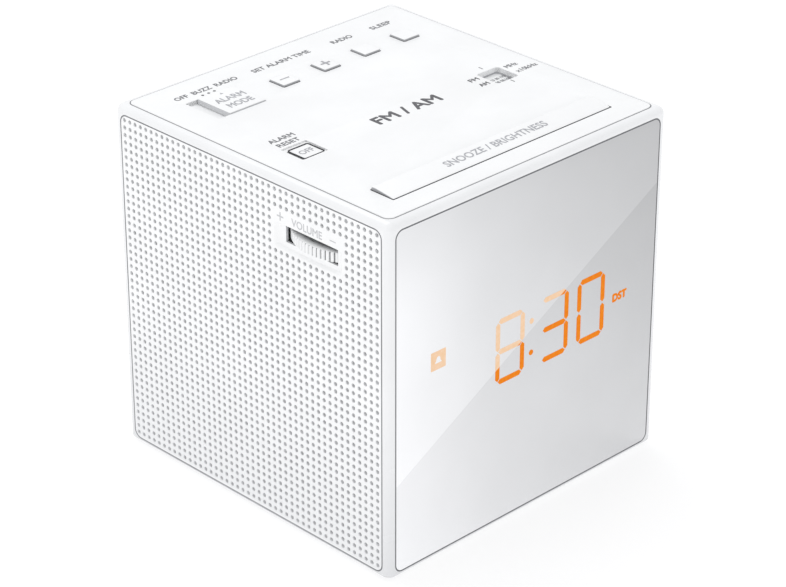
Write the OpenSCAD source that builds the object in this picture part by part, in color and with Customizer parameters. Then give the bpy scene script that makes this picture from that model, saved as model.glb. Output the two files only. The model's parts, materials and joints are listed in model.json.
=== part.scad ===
// Cube clock radio with a mirror display, a perforated speaker side and two thumbwheels.
// X runs to the viewer's right, Y to the rear and Z up. The origin is on the table, under
// the middle of the cabinet, and every length is in millimetres.

/* [Body] */
// Width of the cabinet, left to right
body_w = 102; // [101:0.5:104]
// Depth of the cabinet, display to rear cover
body_d = 103; // [102:0.5:105]
// Height of the top face above the table
body_top = 102; // [101.5:0.5:103]
// Height of the rubber feet below the cabinet
foot_h = 1; // [0.8:0.1:1.2]
// Radius of the cabinet's outer edges
edge_r = 2.6; // [2:0.1:3]
// Visible frame between a panel and the cabinet's edge
border = 2.36; // [2.2:0.02:2.5]
// Thickness of every flat panel
skin = 1.5; // [1.3:0.1:1.6]
// Gap between a panel and the frame around it
seam = 0.15; // [0.1:0.05:0.25]

/* [Top controls] */
// Side of each square key
key_size = 5.8; // [5.2:0.2:6.6]
// Distance between neighbouring square keys
key_pitch = 14.93; // [14:0.01:15.2]
// Height of the square keys above the top face
key_rise = 0.7; // [0.5:0.1:1.2]
// Travel of the square keys
key_travel = 0.6; // [0.4:0.1:0.7]
// Length of the snooze bar
snooze_w = 79.5; // [76:0.5:81]
// Travel of the snooze bar
snooze_travel = 0.7; // [0.4:0.1:0.8]
// Distance between two positions of the alarm mode knob
mode_step = 1.9; // [1.5:0.1:1.9]

/* [Wheels] */
// Radius of the volume thumbwheel
volume_r = 16.5; // [16.3:0.1:16.8]
// Radius of the tuning thumbwheel
tuning_r = 17.65; // [17.5:0.05:17.8]
// Thickness of both thumbwheels
wheel_t = 3.1; // [2.8:0.1:3.2]
// How far both thumbwheels stand out of the sides
wheel_out = 1.25; // [0.8:0.05:1.4]
// Number of ribs on each thumbwheel
wheel_ribs = 80; // [60:2:110]

/* [Speaker] */
// Radius of the loudspeaker's rim
speaker_r = 33; // [31:0.5:34]
// Diameter of a grille hole
hole_d = 1.2; // [0.8:0.1:1.6]
// Distance between two grille holes
hole_pitch = 4.3; // [4.3:0.1:6]

/* [Display] */
// Width of one digit
digit_w = 10.6; // [9.5:0.1:11]
// Height of one digit
digit_h = 18.8; // [17:0.1:19.5]
// Width of one display segment
stroke = 1.4; // [1:0.1:1.6]

/* [Hidden] */
$fn = 64;
THIN_FN = 24;

// cabinet
hx = body_w / 2;
hy = body_d / 2;
top = body_top;
bottom = foot_h;
lip = 0.8;
panel_low = bottom + lip;
panel_high = top - border;
panel_h = panel_high - panel_low;
panel_mid = (panel_high + panel_low) / 2;
panel_corner = 2.5;
wall = 4.6;
floor_t = 2.4;
cap_border = 2.25;
base_border = 2.95;
base_ledge = 5.2;
front_w = body_w - 2 * border;
side_w = body_d - 2 * border;
under_top = top - skin;
brace = 1.9;
under_brace = under_top - brace;
shelf_gap = 0.2;
block_size = 7.2;
block_x = hx - wall + 0.2 - block_size / 2;
block_y = hy - wall + 0.2 - block_size / 2;
block_low = bottom + skin + 1.9;
block_high = 17;
opening_low = 4;
ledge_top = 50;
foot_x = 32;
foot_y = 32.5;
foot_r = 5;
foot_sink = 1.2;
slots_each_side = 3;
slot_pitch = 5;
slot_half = 1;
slot_y = [-38, -12];

// boards and their screws
board_t = 1.6;
screw_r = 1.05;
pilot_r = 1.1;
head_r = 2.5;
head_t = 1.2;
board_hole_r = 1.3;
key_board_z = 91;
key_board_x = [-45, 45];
key_board_y = [-43, 45.5];
board_x = 42;
board_y = [-37, 44];
board_z = [19, 78];
board_pins_y = [-32, 40];
board_pins_z = [24, 72];
post_r = 3;
post_spots = [[-42, 43], [42, 43], [-42, -13.5], [9, -26], [42, 8]];
switch_size = 6;
well_r = 1.7;
stem_r = 1.2;

// keys on the top
key_gap = 0.3;
key_y = 30.2;
first_key_x = -9.7;
key_x = [for (i = [0:3]) first_key_x + i * key_pitch];
collar = 0.7;
collar_t = 0.8;
collar_top = under_brace - 0.1;
switch_top = collar_top - collar_t - key_travel - 1;
switch_h = switch_top - key_board_z - board_t;
stem_reach = 0.9;
stem_low = switch_top - stem_reach;
well_depth = stem_reach + snooze_travel + 0.3;
off_x = -35.8;
off_y = -5.85;
off_w = 7.1;
off_d = 6.7;
off_ring = 0.5;
off_margin = [0.75, 0.35, 0.95, 1.3];
off_sink = 0.15;
snooze_x = 0;
snooze_back = -33.9;
snooze_front = -41.7;
snooze_rise = 0.9;
snooze_foot = under_brace - 0.1;
snooze_stems = [-26, 12];
well_x = [-38.4, -21.7];
well_y = [24.1, 37.4];
mode_depth = 1.3;
mode_rise = 0.5;
knob_w = 12.6;
knob_d = 12.9;
knob_x = well_x[1] - 0.1 - knob_w / 2;
knob_y = (well_y[0] + well_y[1]) / 2;
mode_travel = 2 * mode_step;
fork_w = 3;
fork_low = switch_top + 0.8;

// thumbwheels
volume_x = -hx - wheel_out + volume_r;
volume_y = -24.3;
volume_z = 85.2;
shaft_r = 2;
tuning_x = hx + wheel_out - tuning_r;
tuning_y = -19.5;
tuning_z = 94.2;
tuning_shaft_r = 3;
running = 0.05;
pot_r = 8;
capacitor_half = 10;
capacitor_low = 79.4;
shaft_low = 84.2;
rib_depth = 0.35;
wheel_slot_w = 18.75;
tuning_slot_w = wheel_slot_w + 1;
wheel_slot_h = 4.2;
scoop_w = 24.9;
scoop_low = 3.1;
scoop_high = 3.9;
scoop_t = 0.8;
dial_x = [29.7, 37.8];
dial_y = [-10.7, -2.5];
dial_depth = 1.9;
lens_t = 1;
lens_rim = 1.2;

// loudspeaker
speaker_z = 44;
speaker_screw_r = speaker_r + 3;
speaker_post_r = 2.4;
washer_r = 4;
gasket_t = 0.8;
speaker_face = -hx + skin + 0.1;
rim_t = 1.2;
speaker_back = speaker_face + gasket_t + rim_t;
coil_r = 9;
magnet_r = 16;

// display
glass_back = -hy + skin;
mask_t = 0.6;
mask_y = glass_back + 0.1;
digit_z = 50.8;
digit_x = [-20.5, -6.25, 10.35, 24.3];
digit_bars = ["bc", "abcdefg", "abcdg", "abcdef"];
colon_x = 1.76;
colon_z = [46.1, 55.4];
icon = [-32.35, 57.45, 5.3];
badge = [35.65, 49.8, 5.7, 2.8];
housing_t = 6.6;
housing_size = [80, 26];
housing_y = mask_y + mask_t + 0.05 + housing_t;
lens_back = housing_y - 1.5;
display_x = [-42, 43];
display_z = [32, 70];
display_hole = 2;

// rear controls
rear_pad = 1.4;
rear_inner = hy - skin;
vents = 7;
vent_x = 20;
vent_pitch = 2.4;
vent_h = 1.2;
vent_low = 75;
recess = [-25, 17, 59, 69];
rear_post_x = [recess[0] - 1, recess[1] + 4];
rear_post_z = recess[2] + 1;
rear_post_r = 1.9;
rear_board_x = [-29, 24];
rear_board_z = [57.5, 71];
recess_t = 1;
rear_key_r = 2.8;
rear_key_z = 64;
rear_key_x = [-20, -9];
rear_travel = 0.7;
rear_collar_y = rear_inner - rear_pad - 0.15;
rear_collar_t = 0.9;
rear_switch_h = 3.4;
rear_switch_y = rear_collar_y - rear_collar_t - rear_travel - 0.45;
rear_board_y = rear_switch_y - rear_switch_h - board_t;
band_x = 5.25;
band_travel = 3;
gland_x = 30;
gland_z = 14;
gland_r = 4;
cord_r = 2;
bush_x = 40;
bush_r = 2;
wire_r = 0.8;
bush_fit = 0.05;

// transformer
core_x = [2, 34];
core_y = [11, 37];
core_z = [6.2, 34];
ear = 7.7;
ear_t = 1.2;
ear_half = 4;
ear_hole_r = 1.4;
winding_out = 5.5;
ear_x = [core_x[0] - 4, core_x[1] + 4];
ear_y = 24;
cover_top = block_low - 0.1;

// antenna rod
rod_y = 41;
rod_z = 81;
rod_r = 4;
rod_half = 36;
rod_fit = 0.05;
coil_x = [8, 28];
coil_t = 1.6;
clip_x = [-30, 33];
clip_half = 5.6;

// backup battery
cell_r = 10;
cell_t = 3.2;
cell_y = 36.5;
bay_y = [20, 47.5];
bay_top = 11.8;
bay_roof = 10.4;
bay_gap = 0.3;
bay_wall = 1.6;
tray_x = [-37, -13];
tray_y = 24;
tray_z = [4.6, 9.4];
face_x = [-38, -7];
face_z = [4.5, 10.2];
tray_screw_x = -9.7;
tray_screw_z = 7.2;
tray_head_r = 1.85;
tray_head_sink = 0.8;

// rounded rectangle centred on the origin
module rounded_rect(w, h, r) {
    square([w - 2 * r, h], center = true);
    square([w, h - 2 * r], center = true);
    for (x = [-1, 1], y = [-1, 1])
        translate([x * (w / 2 - r), y * (h / 2 - r)]) circle(r);
}

// box between two corners
module span(low, high) {
    translate(low) cube(high - low);
}

// children drawn in the XY plane, stood up and pushed out towards one side
module facing_front(y) {
    translate([0, y, 0]) rotate([90, 0, 0]) children();
}

module facing_left(x) {
    translate([x, 0, 0]) rotate([90, 0, -90]) children();
}

module facing_right(x) {
    translate([x, 0, 0]) rotate([90, 0, 90]) children();
}

module facing_rear(y) {
    translate([0, y, 0]) rotate([90, 0, 180]) children();
}

// outline of an upright panel, grown by the given amount
module panel_outline(w, grow = 0) {
    translate([0, panel_mid])
        rounded_rect(w + 2 * grow, panel_h + 2 * grow, panel_corner + grow);
}

// screw with its head below and its shank running up
module screw_up(head, length) {
    translate([0, 0, head]) cylinder(r = head_r, h = head_t, $fn = THIN_FN);
    translate([0, 0, head + head_t]) cylinder(r = screw_r, h = length, $fn = THIN_FN);
}

// post with a screw hole through it, standing on the origin
module tube_up(h) {
    difference() {
        cylinder(r = post_r, h = h);
        translate([0, 0, -1]) cylinder(r = pilot_r, h = h + 2, $fn = THIN_FN);
    }
}

// round bar along Y from one depth to another
module bar_y(x, z, r, from_y, to_y) {
    translate([x, to_y, z]) rotate([90, 0, 0]) cylinder(r = r, h = to_y - from_y);
}

// round bar along X from one place to another
module bar_x(y, z, r, from_x, to_x) {
    translate([from_x, y, z]) rotate([0, 90, 0]) cylinder(r = r, h = to_x - from_x);
}

// solid block of the cabinet with rounded upright and upper edges
module cabinet_block() {
    tall = top + edge_r;
    translate([0, 0, bottom]) intersection() {
        linear_extrude(top - bottom) rounded_rect(body_w, body_d, edge_r);
        facing_front(hy) linear_extrude(body_d)
            translate([0, top - bottom - tall / 2]) rounded_rect(body_w, tall, edge_r);
        facing_right(-hx) linear_extrude(body_w)
            translate([0, top - bottom - tall / 2]) rounded_rect(body_d, tall, edge_r);
    }
}

// shallow seat for each of the six panels
module panel_seats() {
    facing_front(-hy + skin) linear_extrude(skin + 1) panel_outline(front_w);
    facing_rear(hy - skin) linear_extrude(skin + 1) panel_outline(front_w);
    facing_left(-hx + skin) linear_extrude(skin + 1) panel_outline(side_w);
    facing_right(hx - skin) linear_extrude(skin + 1) panel_outline(side_w);
    translate([0, 0, under_top]) linear_extrude(skin + 1)
        rounded_rect(body_w - 2 * cap_border, body_d - 2 * cap_border, panel_corner);
    translate([0, 0, bottom - 1]) linear_extrude(skin + 1)
        rounded_rect(body_w - 2 * base_border, body_d - 2 * base_border, panel_corner);
}

module cabinet_frame() {
    color("#f4f5f7") {
        difference() {
            cabinet_block();
            span([-hx + wall, -hy + wall, bottom + floor_t], [hx - wall, hy - wall, top - wall]);
            panel_seats();
            span([-hx - 1, -hy + wall, opening_low], [hx + 1, hy - wall, top - wall]);
            span([-hx + wall, -hy - 1, opening_low], [hx - wall, hy + 1, top - wall]);
            span([-hx + wall, -hy + wall, ledge_top], [hx - wall, hy - wall, top + 1]);
            span([-hx + base_ledge, -hy + base_ledge, -1], [hx - base_ledge, hy - base_ledge, ledge_top]);
            span([40, tuning_y - 11, tuning_z - 0.8], [hx - skin + 1, tuning_y + 11, tuning_z + 4]);
        }
        for (x = [-1, 1], y = [-1, 1]) difference() {
            span([x * block_x - block_size / 2, y * block_y - block_size / 2, block_low],
                 [x * block_x + block_size / 2, y * block_y + block_size / 2, block_high]);
            translate([x * block_x, y * block_y, block_low - 1])
                cylinder(r = pilot_r, h = block_high, $fn = THIN_FN);
        }
    }
}

// hole for a rectangular key, with the same gap all round
module key_hole(x, y, w, d, gap = key_gap) {
    span([x - w / 2 - gap, y - d / 2 - gap, under_brace - 1],
         [x + w / 2 + gap, y + d / 2 + gap, top + 1]);
}

module top_panel() {
    color("#fbfcfd") {
        difference() {
            union() {
                translate([0, 0, under_top]) linear_extrude(skin)
                    rounded_rect(body_w - 2 * (cap_border + seam), body_d - 2 * (cap_border + seam),
                                 panel_corner - seam);
                span([-hx + wall + shelf_gap, -hy + wall + shelf_gap, under_brace],
                     [hx - wall - shelf_gap, hy - wall - shelf_gap, under_top]);
            }
            for (x = key_x) key_hole(x, key_y, key_size, key_size);
            key_hole(off_x, off_y, off_w, off_d, 0.35);
            span([off_x - off_w / 2 - off_margin[0], off_y - off_d / 2 - off_margin[1], top - off_ring],
                 [off_x + off_w / 2 + off_margin[2], off_y + off_d / 2 + off_margin[3], top + 1]);
            key_hole(snooze_x, (snooze_back + snooze_front) / 2, snooze_w, snooze_back - snooze_front);
            span([well_x[0], well_y[0], top - mode_depth], [well_x[1], well_y[1], top + 1]);
            span([knob_x - mode_travel - fork_w / 2 - 0.25, knob_y - fork_w / 2 - 0.2, under_brace - 1],
                 [knob_x + fork_w / 2 + 0.25, knob_y + fork_w / 2 + 0.2, top]);
            span([dial_x[0], dial_y[0], under_brace - 1], [dial_x[1], dial_y[1], top + 1]);
            span([dial_x[0] - lens_rim, dial_y[0] - lens_rim, under_brace - 1],
                 [dial_x[1] + lens_rim, dial_y[1] + lens_rim, top - dial_depth]);
        }
    }
}

// hollow for the finger in front of a thumbwheel, and the wheel's slot
module wheel_scoop(u, z) {
    translate([u - scoop_w / 2, z - scoop_low, skin - scoop_t])
        cube([scoop_w, scoop_low + scoop_high, scoop_t + 1]);
}

module wheel_slot(u, z) {
    translate([u, z + wheel_t / 2, -1])
        linear_extrude(skin + 2) square([wheel_slot_w, wheel_slot_h], center = true);
}

// true where a sound hole would cut into the thumbwheel's scoop
function near_scoop(u, v) = abs(u + volume_y) < 14.5 && v > volume_z - 4.5 && v < volume_z + 9;

module speaker_grille() {
    reach_u = floor((side_w / 2 - 2) / hole_pitch);
    reach_v = floor((panel_h / 2 - 2) / hole_pitch);
    color("#f1f2f4") facing_left(-hx + skin) difference() {
        linear_extrude(skin) difference() {
            panel_outline(side_w, -seam);
            for (i = [-reach_u:reach_u], j = [-reach_v:reach_v])
                if (!near_scoop(i * hole_pitch, panel_mid + j * hole_pitch))
                    translate([i * hole_pitch, panel_mid + j * hole_pitch])
                        circle(d = hole_d, $fn = 16);
        }
        wheel_scoop(-volume_y, volume_z);
        wheel_slot(-volume_y, volume_z);
    }
}

// place of one loudspeaker screw, by its angle around the rim
module speaker_screw_place(angle) {
    translate([0, speaker_screw_r * cos(angle), speaker_z + speaker_screw_r * sin(angle)]) children();
}

module side_panel() {
    color("#f1f2f4") facing_right(hx - skin) difference() {
        linear_extrude(skin) panel_outline(side_w, -seam);
        translate([tuning_y - scoop_w / 2, tuning_z - scoop_low, skin - scoop_t])
            cube([scoop_w, scoop_low + wheel_slot_h, scoop_t + 1]);
        translate([tuning_y, tuning_z + wheel_t / 2, -1]) linear_extrude(skin + 2)
            square([tuning_slot_w, wheel_slot_h], center = true);
    }
}

module front_window() {
    color("#cfd0d4") facing_front(-hy + skin) linear_extrude(skin) panel_outline(front_w, -seam);
}

module rear_cover() {
    color("#f1f2f4") difference() {
        union() {
            facing_rear(rear_inner) linear_extrude(skin) panel_outline(front_w, -seam);
            span([recess[0] - 2, rear_inner - rear_pad, recess[2] - 1.5],
                 [recess[1] + 2, rear_inner, recess[3] + 1.5]);
        }
        span([recess[0], hy - recess_t, recess[2]], [recess[1], hy + 1, recess[3]]);
        for (x = rear_key_x) bar_y(x, rear_key_z, rear_key_r + key_gap, rear_inner - 3, hy + 1);
        span([band_x - 2.55, rear_inner - 3, rear_key_z - 2.8],
             [band_x + band_travel + 2.55, hy + 1, rear_key_z + 2.8]);
        for (i = [0:vents - 1])
            span([-vent_x, rear_inner - 1, vent_low + i * vent_pitch],
                 [vent_x, hy + 1, vent_low + i * vent_pitch + vent_h]);
        bar_y(gland_x, gland_z, gland_r + bush_fit, rear_inner - 1, hy + 1);
        bar_y(bush_x, gland_z, bush_r + bush_fit, rear_inner - 1, hy + 1);
        span([face_x[0] - 0.2, rear_inner - 1, face_z[0] - 0.2], [face_x[1] + 0.2, hy + 1, face_z[1] + 0.2]);
    }
}

module bottom_cover() {
    color("#e9eaec") difference() {
        union() {
            translate([0, 0, bottom]) linear_extrude(skin)
                rounded_rect(body_w - 2 * (base_border + seam), body_d - 2 * (base_border + seam),
                             panel_corner - seam);
            span([-hx + base_ledge + shelf_gap, -hy + base_ledge + shelf_gap, bottom + skin],
                 [hx - base_ledge - shelf_gap, hy - base_ledge - shelf_gap, cover_top]);
        }
        for (x = [-1, 1], y = [-1, 1]) {
            translate([x * block_x, y * block_y, 0]) cylinder(r = pilot_r + 0.3, h = 9, $fn = THIN_FN);
            translate([x * block_x, y * block_y, 0]) cylinder(r = head_r + 0.2, h = bottom + head_t + 0.4);
            translate([x * foot_x, y * foot_y, 0])
                cylinder(r = foot_r + 0.1, h = bottom + foot_sink);
        }
        for (x = ear_x) translate([x, ear_y, bottom + 0.8]) cylinder(r = pilot_r, h = 9, $fn = THIN_FN);
        for (i = [-slots_each_side:slots_each_side])
            span([i * slot_pitch - slot_half, slot_y[0], 0], [i * slot_pitch + slot_half, slot_y[1], 9]);
    }
}

// every post between a panel and a board, the loudspeaker or the transformer
module standoffs() {
    color("#e8e6da") {
        for (p = post_spots) translate([p[0], p[1], key_board_z + board_t])
            tube_up(under_brace - key_board_z - board_t);
        for (x = ear_x) translate([x, ear_y, cover_top]) tube_up(core_z[0] - cover_top);
        for (y = board_pins_y, z = board_pins_z) difference() {
            bar_x(y, z, post_r, board_x + board_t, hx - skin);
            bar_x(y, z, pilot_r, board_x, hx - skin + 1);
        }
        for (x = rear_post_x) difference() {
            bar_y(x, rear_post_z, rear_post_r, rear_board_y + board_t, rear_inner - rear_pad);
            bar_y(x, rear_post_z, pilot_r, rear_board_y, rear_inner);
        }
        for (a = [45:90:315]) speaker_screw_place(a) difference() {
            bar_x(0, 0, speaker_post_r, -hx + skin, speaker_back);
            bar_x(0, 0, pilot_r, -hx, speaker_back + 1);
        }
    }
}

module rubber_feet() {
    color("#3a3b3d") for (x = [-1, 1], y = [-1, 1])
        translate([x * foot_x, y * foot_y, 0]) cylinder(r = foot_r, h = foot_h + foot_sink);
}

module case_screws() {
    color("#b9bcc0") for (x = [-1, 1], y = [-1, 1]) translate([x * block_x, y * block_y, 0])
        screw_up(bottom + 0.4, 11);
}

module cord_gland() {
    color("#4a4b4e") difference() {
        union() {
            bar_y(gland_x, gland_z, gland_r, rear_inner - 0.2, hy - 0.1);
            bar_y(gland_x, gland_z, gland_r + 1.4, rear_inner - 6.2, rear_inner - 0.1);
        }
        bar_y(gland_x, gland_z, cord_r, rear_inner - 8, hy + 1);
    }
}

module antenna_bush() {
    color("#4a4b4e") difference() {
        union() {
            bar_y(bush_x, gland_z, bush_r, rear_inner - 0.2, hy - 0.1);
            bar_y(bush_x, gland_z, bush_r + 1, rear_inner - 2.4, rear_inner - 0.1);
        }
        bar_y(bush_x, gland_z, wire_r, rear_inner - 4, hy + 1);
    }
}

// one display bar, pointed at both ends, centred on the origin and lying along X
module bar_outline(length) {
    h = stroke / 2;
    polygon([[-length / 2, 0], [-length / 2 + h, h], [length / 2 - h, h],
             [length / 2, 0], [length / 2 - h, -h], [-length / 2 + h, -h]]);
}

// the bars of one digit that are named in a string of letters, a at the top and g in the middle
module digit_outline(bars) {
    split = 0.35;
    w = digit_w - stroke;
    h = (digit_h - stroke) / 2;
    spots = [["a", 0, h, 0], ["g", 0, 0, 0], ["d", 0, -h, 0], ["b", w / 2, h / 2, 90],
             ["c", w / 2, -h / 2, 90], ["e", -w / 2, -h / 2, 90], ["f", -w / 2, h / 2, 90]];
    for (s = spots) if (len(search(s[0], bars)) > 0)
        translate([s[1], s[2]]) rotate(s[3]) bar_outline((s[3] == 0 ? w : h) - split);
}

// every window of the display that is lit, as one flat drawing
module lit_outline() {
    for (i = [1:3]) translate([digit_x[i], digit_z]) digit_outline(digit_bars[i]);
    for (z = colon_z) translate([colon_x, z]) circle(d = stroke, $fn = THIN_FN);
    translate([icon[0], icon[1]]) square(icon[2], center = true);
    translate([badge[0], badge[1]]) square([badge[2], badge[3]], center = true);
}

// the windows that stay dark at this hour
module dark_outline() {
    translate([digit_x[0], digit_z]) digit_outline(digit_bars[0]);
    translate([digit_x[2], digit_z]) digit_outline("ef");
    translate([digit_x[3], digit_z]) digit_outline("g");
}

module display_mask() {
    color("#2a2a2c") facing_front(mask_y + mask_t) linear_extrude(mask_t) difference() {
        translate([0, panel_mid]) square([body_w - 2 * wall - 1, panel_h - 6], center = true);
        lit_outline();
        dark_outline();
    }
}

module segment_housing() {
    color("#e6e6e6") difference() {
        facing_front(housing_y) linear_extrude(housing_t)
            translate([1, digit_z + 1]) square(housing_size, center = true);
        facing_front(housing_y - 1) linear_extrude(housing_t) {
            lit_outline();
            dark_outline();
        }
    }
}

module lit_segments() {
    color("#f28c1e") facing_front(lens_back)
        linear_extrude(lens_back - mask_y) lit_outline();
}

module dark_segments() {
    color("#dcd6cc") facing_front(lens_back)
        linear_extrude(lens_back - mask_y) dark_outline();
}

module display_board() {
    y = housing_y + 0.05;
    color("#2f6b3c") difference() {
        span([display_x[0], y, display_z[0]], [display_x[1], y + board_t, display_z[1]]);
        for (x = [display_x[0] + display_hole, display_x[1] - display_hole],
             z = [display_z[0] + display_hole, display_z[1] - display_hole])
            bar_y(x, z, board_hole_r, y - 1, y + 3);
    }
}

module key_board() {
    color("#2f6b3c") difference() {
        span([key_board_x[0], key_board_y[0], key_board_z],
             [key_board_x[1], key_board_y[1], key_board_z + board_t]);
        translate([tuning_x, tuning_y, key_board_z - 1]) cylinder(r = 4, h = 4);
        for (p = post_spots) translate([p[0], p[1], key_board_z - 1])
            cylinder(r = board_hole_r, h = 4, $fn = THIN_FN);
    }
}

// dome switch with a round well for a key's stem, sitting on the origin
module dome_switch(h) {
    difference() {
        translate([-switch_size / 2, -switch_size / 2, 0]) cube([switch_size, switch_size, h]);
        translate([0, 0, h - well_depth]) cylinder(r = well_r, h = well_depth + 1);
    }
}

module dome_switches() {
    places = concat([for (x = key_x) [x, key_y]], [[off_x, off_y]],
                    [for (x = snooze_stems) [x, (snooze_back + snooze_front) / 2]]);
    color("#2b2c2e") {
        for (p = places) translate([p[0], p[1], key_board_z + board_t]) dome_switch(switch_h);
        for (x = rear_key_x) translate([x, rear_board_y + board_t, rear_key_z]) rotate([-90, 0, 0])
            dome_switch(rear_switch_h);
    }
}

// housings of the two slide switches, behind the alarm mode knob and the band knob
module slide_switches() {
    mid = knob_x - mode_travel / 2;
    floor_z = key_board_z + board_t;
    color("#2b2c2e") {
        difference() {
            span([mid - 7.5, knob_y - 3.2, floor_z], [mid + 7.5, knob_y + 3.2, switch_top]);
            span([mid - 6.3, knob_y - 2.4, floor_z + 0.5], [mid + 6.3, knob_y + 2.4, switch_top - 0.7]);
            span([mid - 3.2, knob_y - 1, floor_z + 2], [mid + 3.2, knob_y + 1, switch_top + 1]);
        }
        difference() {
            span([band_x - 4, rear_board_y + board_t, rear_key_z - 3],
                 [band_x + band_travel + 4, rear_switch_y, rear_key_z + 3]);
            span([band_x - 2.5, rear_board_y + board_t + 0.8, rear_key_z - 1.6],
                 [band_x + band_travel + 2.5, rear_switch_y + 1, rear_key_z + 1.6]);
        }
    }
}

module alarm_switch_slider() {
    color("#d9d9d6") {
        span([knob_x - 2.4, knob_y - 2, key_board_z + board_t + 0.6],
             [knob_x + 2.4, knob_y + 2, switch_top - 1]);
        span([knob_x - 0.8, knob_y - 0.7, switch_top - 1], [knob_x + 0.8, knob_y + 0.7, switch_top + 2.6]);
    }
}

module alarm_mode_knob() {
    color("#fdfdfe") difference() {
        union() {
            span([knob_x - knob_w / 2, knob_y - knob_d / 2, top - mode_depth + 0.1],
                 [knob_x + knob_w / 2, knob_y + knob_d / 2, top + mode_rise]);
            span([knob_x - fork_w / 2, knob_y - fork_w / 2, fork_low],
                 [knob_x + fork_w / 2, knob_y + fork_w / 2, top - 1]);
        }
        span([knob_x - 0.85, knob_y - 0.75, fork_low - 1], [knob_x + 0.85, knob_y + 0.75, switch_top + 2.7]);
    }
}

module main_board() {
    color("#2f6b3c") difference() {
        span([board_x, board_y[0], board_z[0]], [board_x + board_t, board_y[1], board_z[1]]);
        for (y = board_pins_y, z = board_pins_z) bar_x(y, z, board_hole_r, board_x - 1, board_x + 3);
    }
}

module board_chips() {
    chips = [[-14, 50, 9, 20], [6, 50, 10, 14], [30, 54, 8, 8], [22, 27, 10, 6]];
    color("#232426") for (c = chips)
        span([board_x - 2.2, c[0] - c[2] / 2, c[1] - c[3] / 2], [board_x, c[0] + c[2] / 2, c[1] + c[3] / 2]);
}

module capacitors() {
    cans = [[-20, 28, 5, 12], [-7, 27, 4, 10], [4, 28, 3, 8], [-28, 40, 2.5, 7], [20, 66, 3, 7]];
    color("#2d4a8a") for (c = cans) bar_x(c[0], c[1], c[2], board_x - c[3], board_x);
}

module wire_headers() {
    color("#e8e6da") for (y = [-29, -6, 34])
        span([board_x - 5, y - 4.5, 62], [board_x, y + 4.5, 66.5]);
}

// every screw inside the cabinet
module inner_screws() {
    color("#b9bcc0") {
        for (p = post_spots) translate([p[0], p[1], 0]) screw_up(key_board_z - head_t, 6);
        for (y = board_pins_y, z = board_pins_z) {
            bar_x(y, z, head_r, board_x - head_t, board_x);
            bar_x(y, z, screw_r, board_x, board_x + 6);
        }
        for (a = [45:90:315]) speaker_screw_place(a) {
            bar_x(0, 0, washer_r, speaker_back, speaker_back + head_t);
            bar_x(0, 0, screw_r, -hx + skin + 0.4, speaker_back);
        }
        for (x = ear_x) translate([x, ear_y, 0]) {
            translate([0, 0, core_z[0] + ear_t]) cylinder(r = head_r, h = head_t, $fn = THIN_FN);
            translate([0, 0, bottom + 1]) cylinder(r = screw_r, h = core_z[0] + ear_t - bottom - 1);
        }
        for (x = rear_post_x) {
            bar_y(x, rear_post_z, head_r, rear_board_y - head_t, rear_board_y);
            bar_y(x, rear_post_z, screw_r, rear_board_y, rear_board_y + 5);
        }
    }
}

module speaker_gasket() {
    color("#303133") difference() {
        bar_x(0, speaker_z, speaker_r, speaker_face, speaker_face + gasket_t);
        bar_x(0, speaker_z, speaker_r - 3, speaker_face - 1, speaker_face + gasket_t + 1);
    }
}

// solid of revolution around the loudspeaker's axis, from points of radius and depth
module speaker_turned(points) {
    translate([speaker_face + gasket_t, 0, speaker_z]) rotate([0, 90, 0])
        rotate_extrude() polygon(points);
}

module speaker_basket() {
    color("#8f9296") speaker_turned([
        [29.1, 0], [speaker_r, 0], [speaker_r, rim_t], [30.2, rim_t], [magnet_r + 1, 13.4],
        [magnet_r + 1, 14.4], [coil_r + 1.2, 14.4], [coil_r + 1.2, 13], [magnet_r - 0.4, 13]
    ]);
}

module speaker_cone() {
    color("#3b3a38") speaker_turned([
        [29.9, -0.4], [29.9, 0], [29, 0], [27.6, 0.4], [26.4, 1], [coil_r + 0.8, 9.6], [coil_r + 0.8, 12.6],
        [coil_r, 12.6], [coil_r, 9], [25, 0.2], [27.4, -0.4]
    ]);
}

module speaker_dust_cap() {
    color("#2b2a29") speaker_turned([
        [0, 5.2], [4, 5.7], [7, 7.1], [coil_r - 0.05, 9.3], [coil_r - 0.05, 10], [0, 6.2]
    ]);
}

module speaker_magnet() {
    color("#5c5f63") speaker_turned([
        [0, 10.4], [coil_r - 0.6, 10.4], [coil_r - 0.6, 14.4], [magnet_r, 14.4], [magnet_r, 24],
        [magnet_r - 2, 25.4], [0, 25.4]
    ]);
}

module transformer_core() {
    color("#6d6f72") difference() {
        union() {
            span([core_x[0], core_y[0], core_z[0]], [core_x[1], core_y[1], core_z[1]]);
            span([core_x[0] - ear, ear_y - ear_half, core_z[0]],
                 [core_x[1] + ear, ear_y + ear_half, core_z[0] + ear_t]);
        }
        for (x = [core_x[0] + 5, core_x[1] - 10])
            span([x, core_y[0] - 1, core_z[0] + 4.8], [x + 5, core_y[1] + 1, core_z[1] - 5]);
        for (x = ear_x) translate([x, ear_y, core_z[0] - 1]) cylinder(r = ear_hole_r, h = 4, $fn = THIN_FN);
    }
}

module transformer_winding() {
    low = core_z[0] + 5;
    high = core_z[1] - 5.2;
    color("#c98b3a") difference() {
        span([core_x[0] + 5.2, core_y[0] - winding_out, low],
             [core_x[1] - 5.2, core_y[1] + winding_out, high]);
        span([core_x[0] + 10, core_y[0] - 0.1, low - 1], [core_x[1] - 10, core_y[1] + 0.1, high + 1]);
    }
}

module ferrite_rod() {
    color("#4b4744") bar_x(rod_y, rod_z, rod_r, -rod_half, rod_half);
}

module antenna_coil() {
    color("#b8763a") difference() {
        bar_x(rod_y, rod_z, rod_r + coil_t, coil_x[0], coil_x[1]);
        bar_x(rod_y, rod_z, rod_r + rod_fit, coil_x[0] - 1, coil_x[1] + 1);
    }
}

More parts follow.
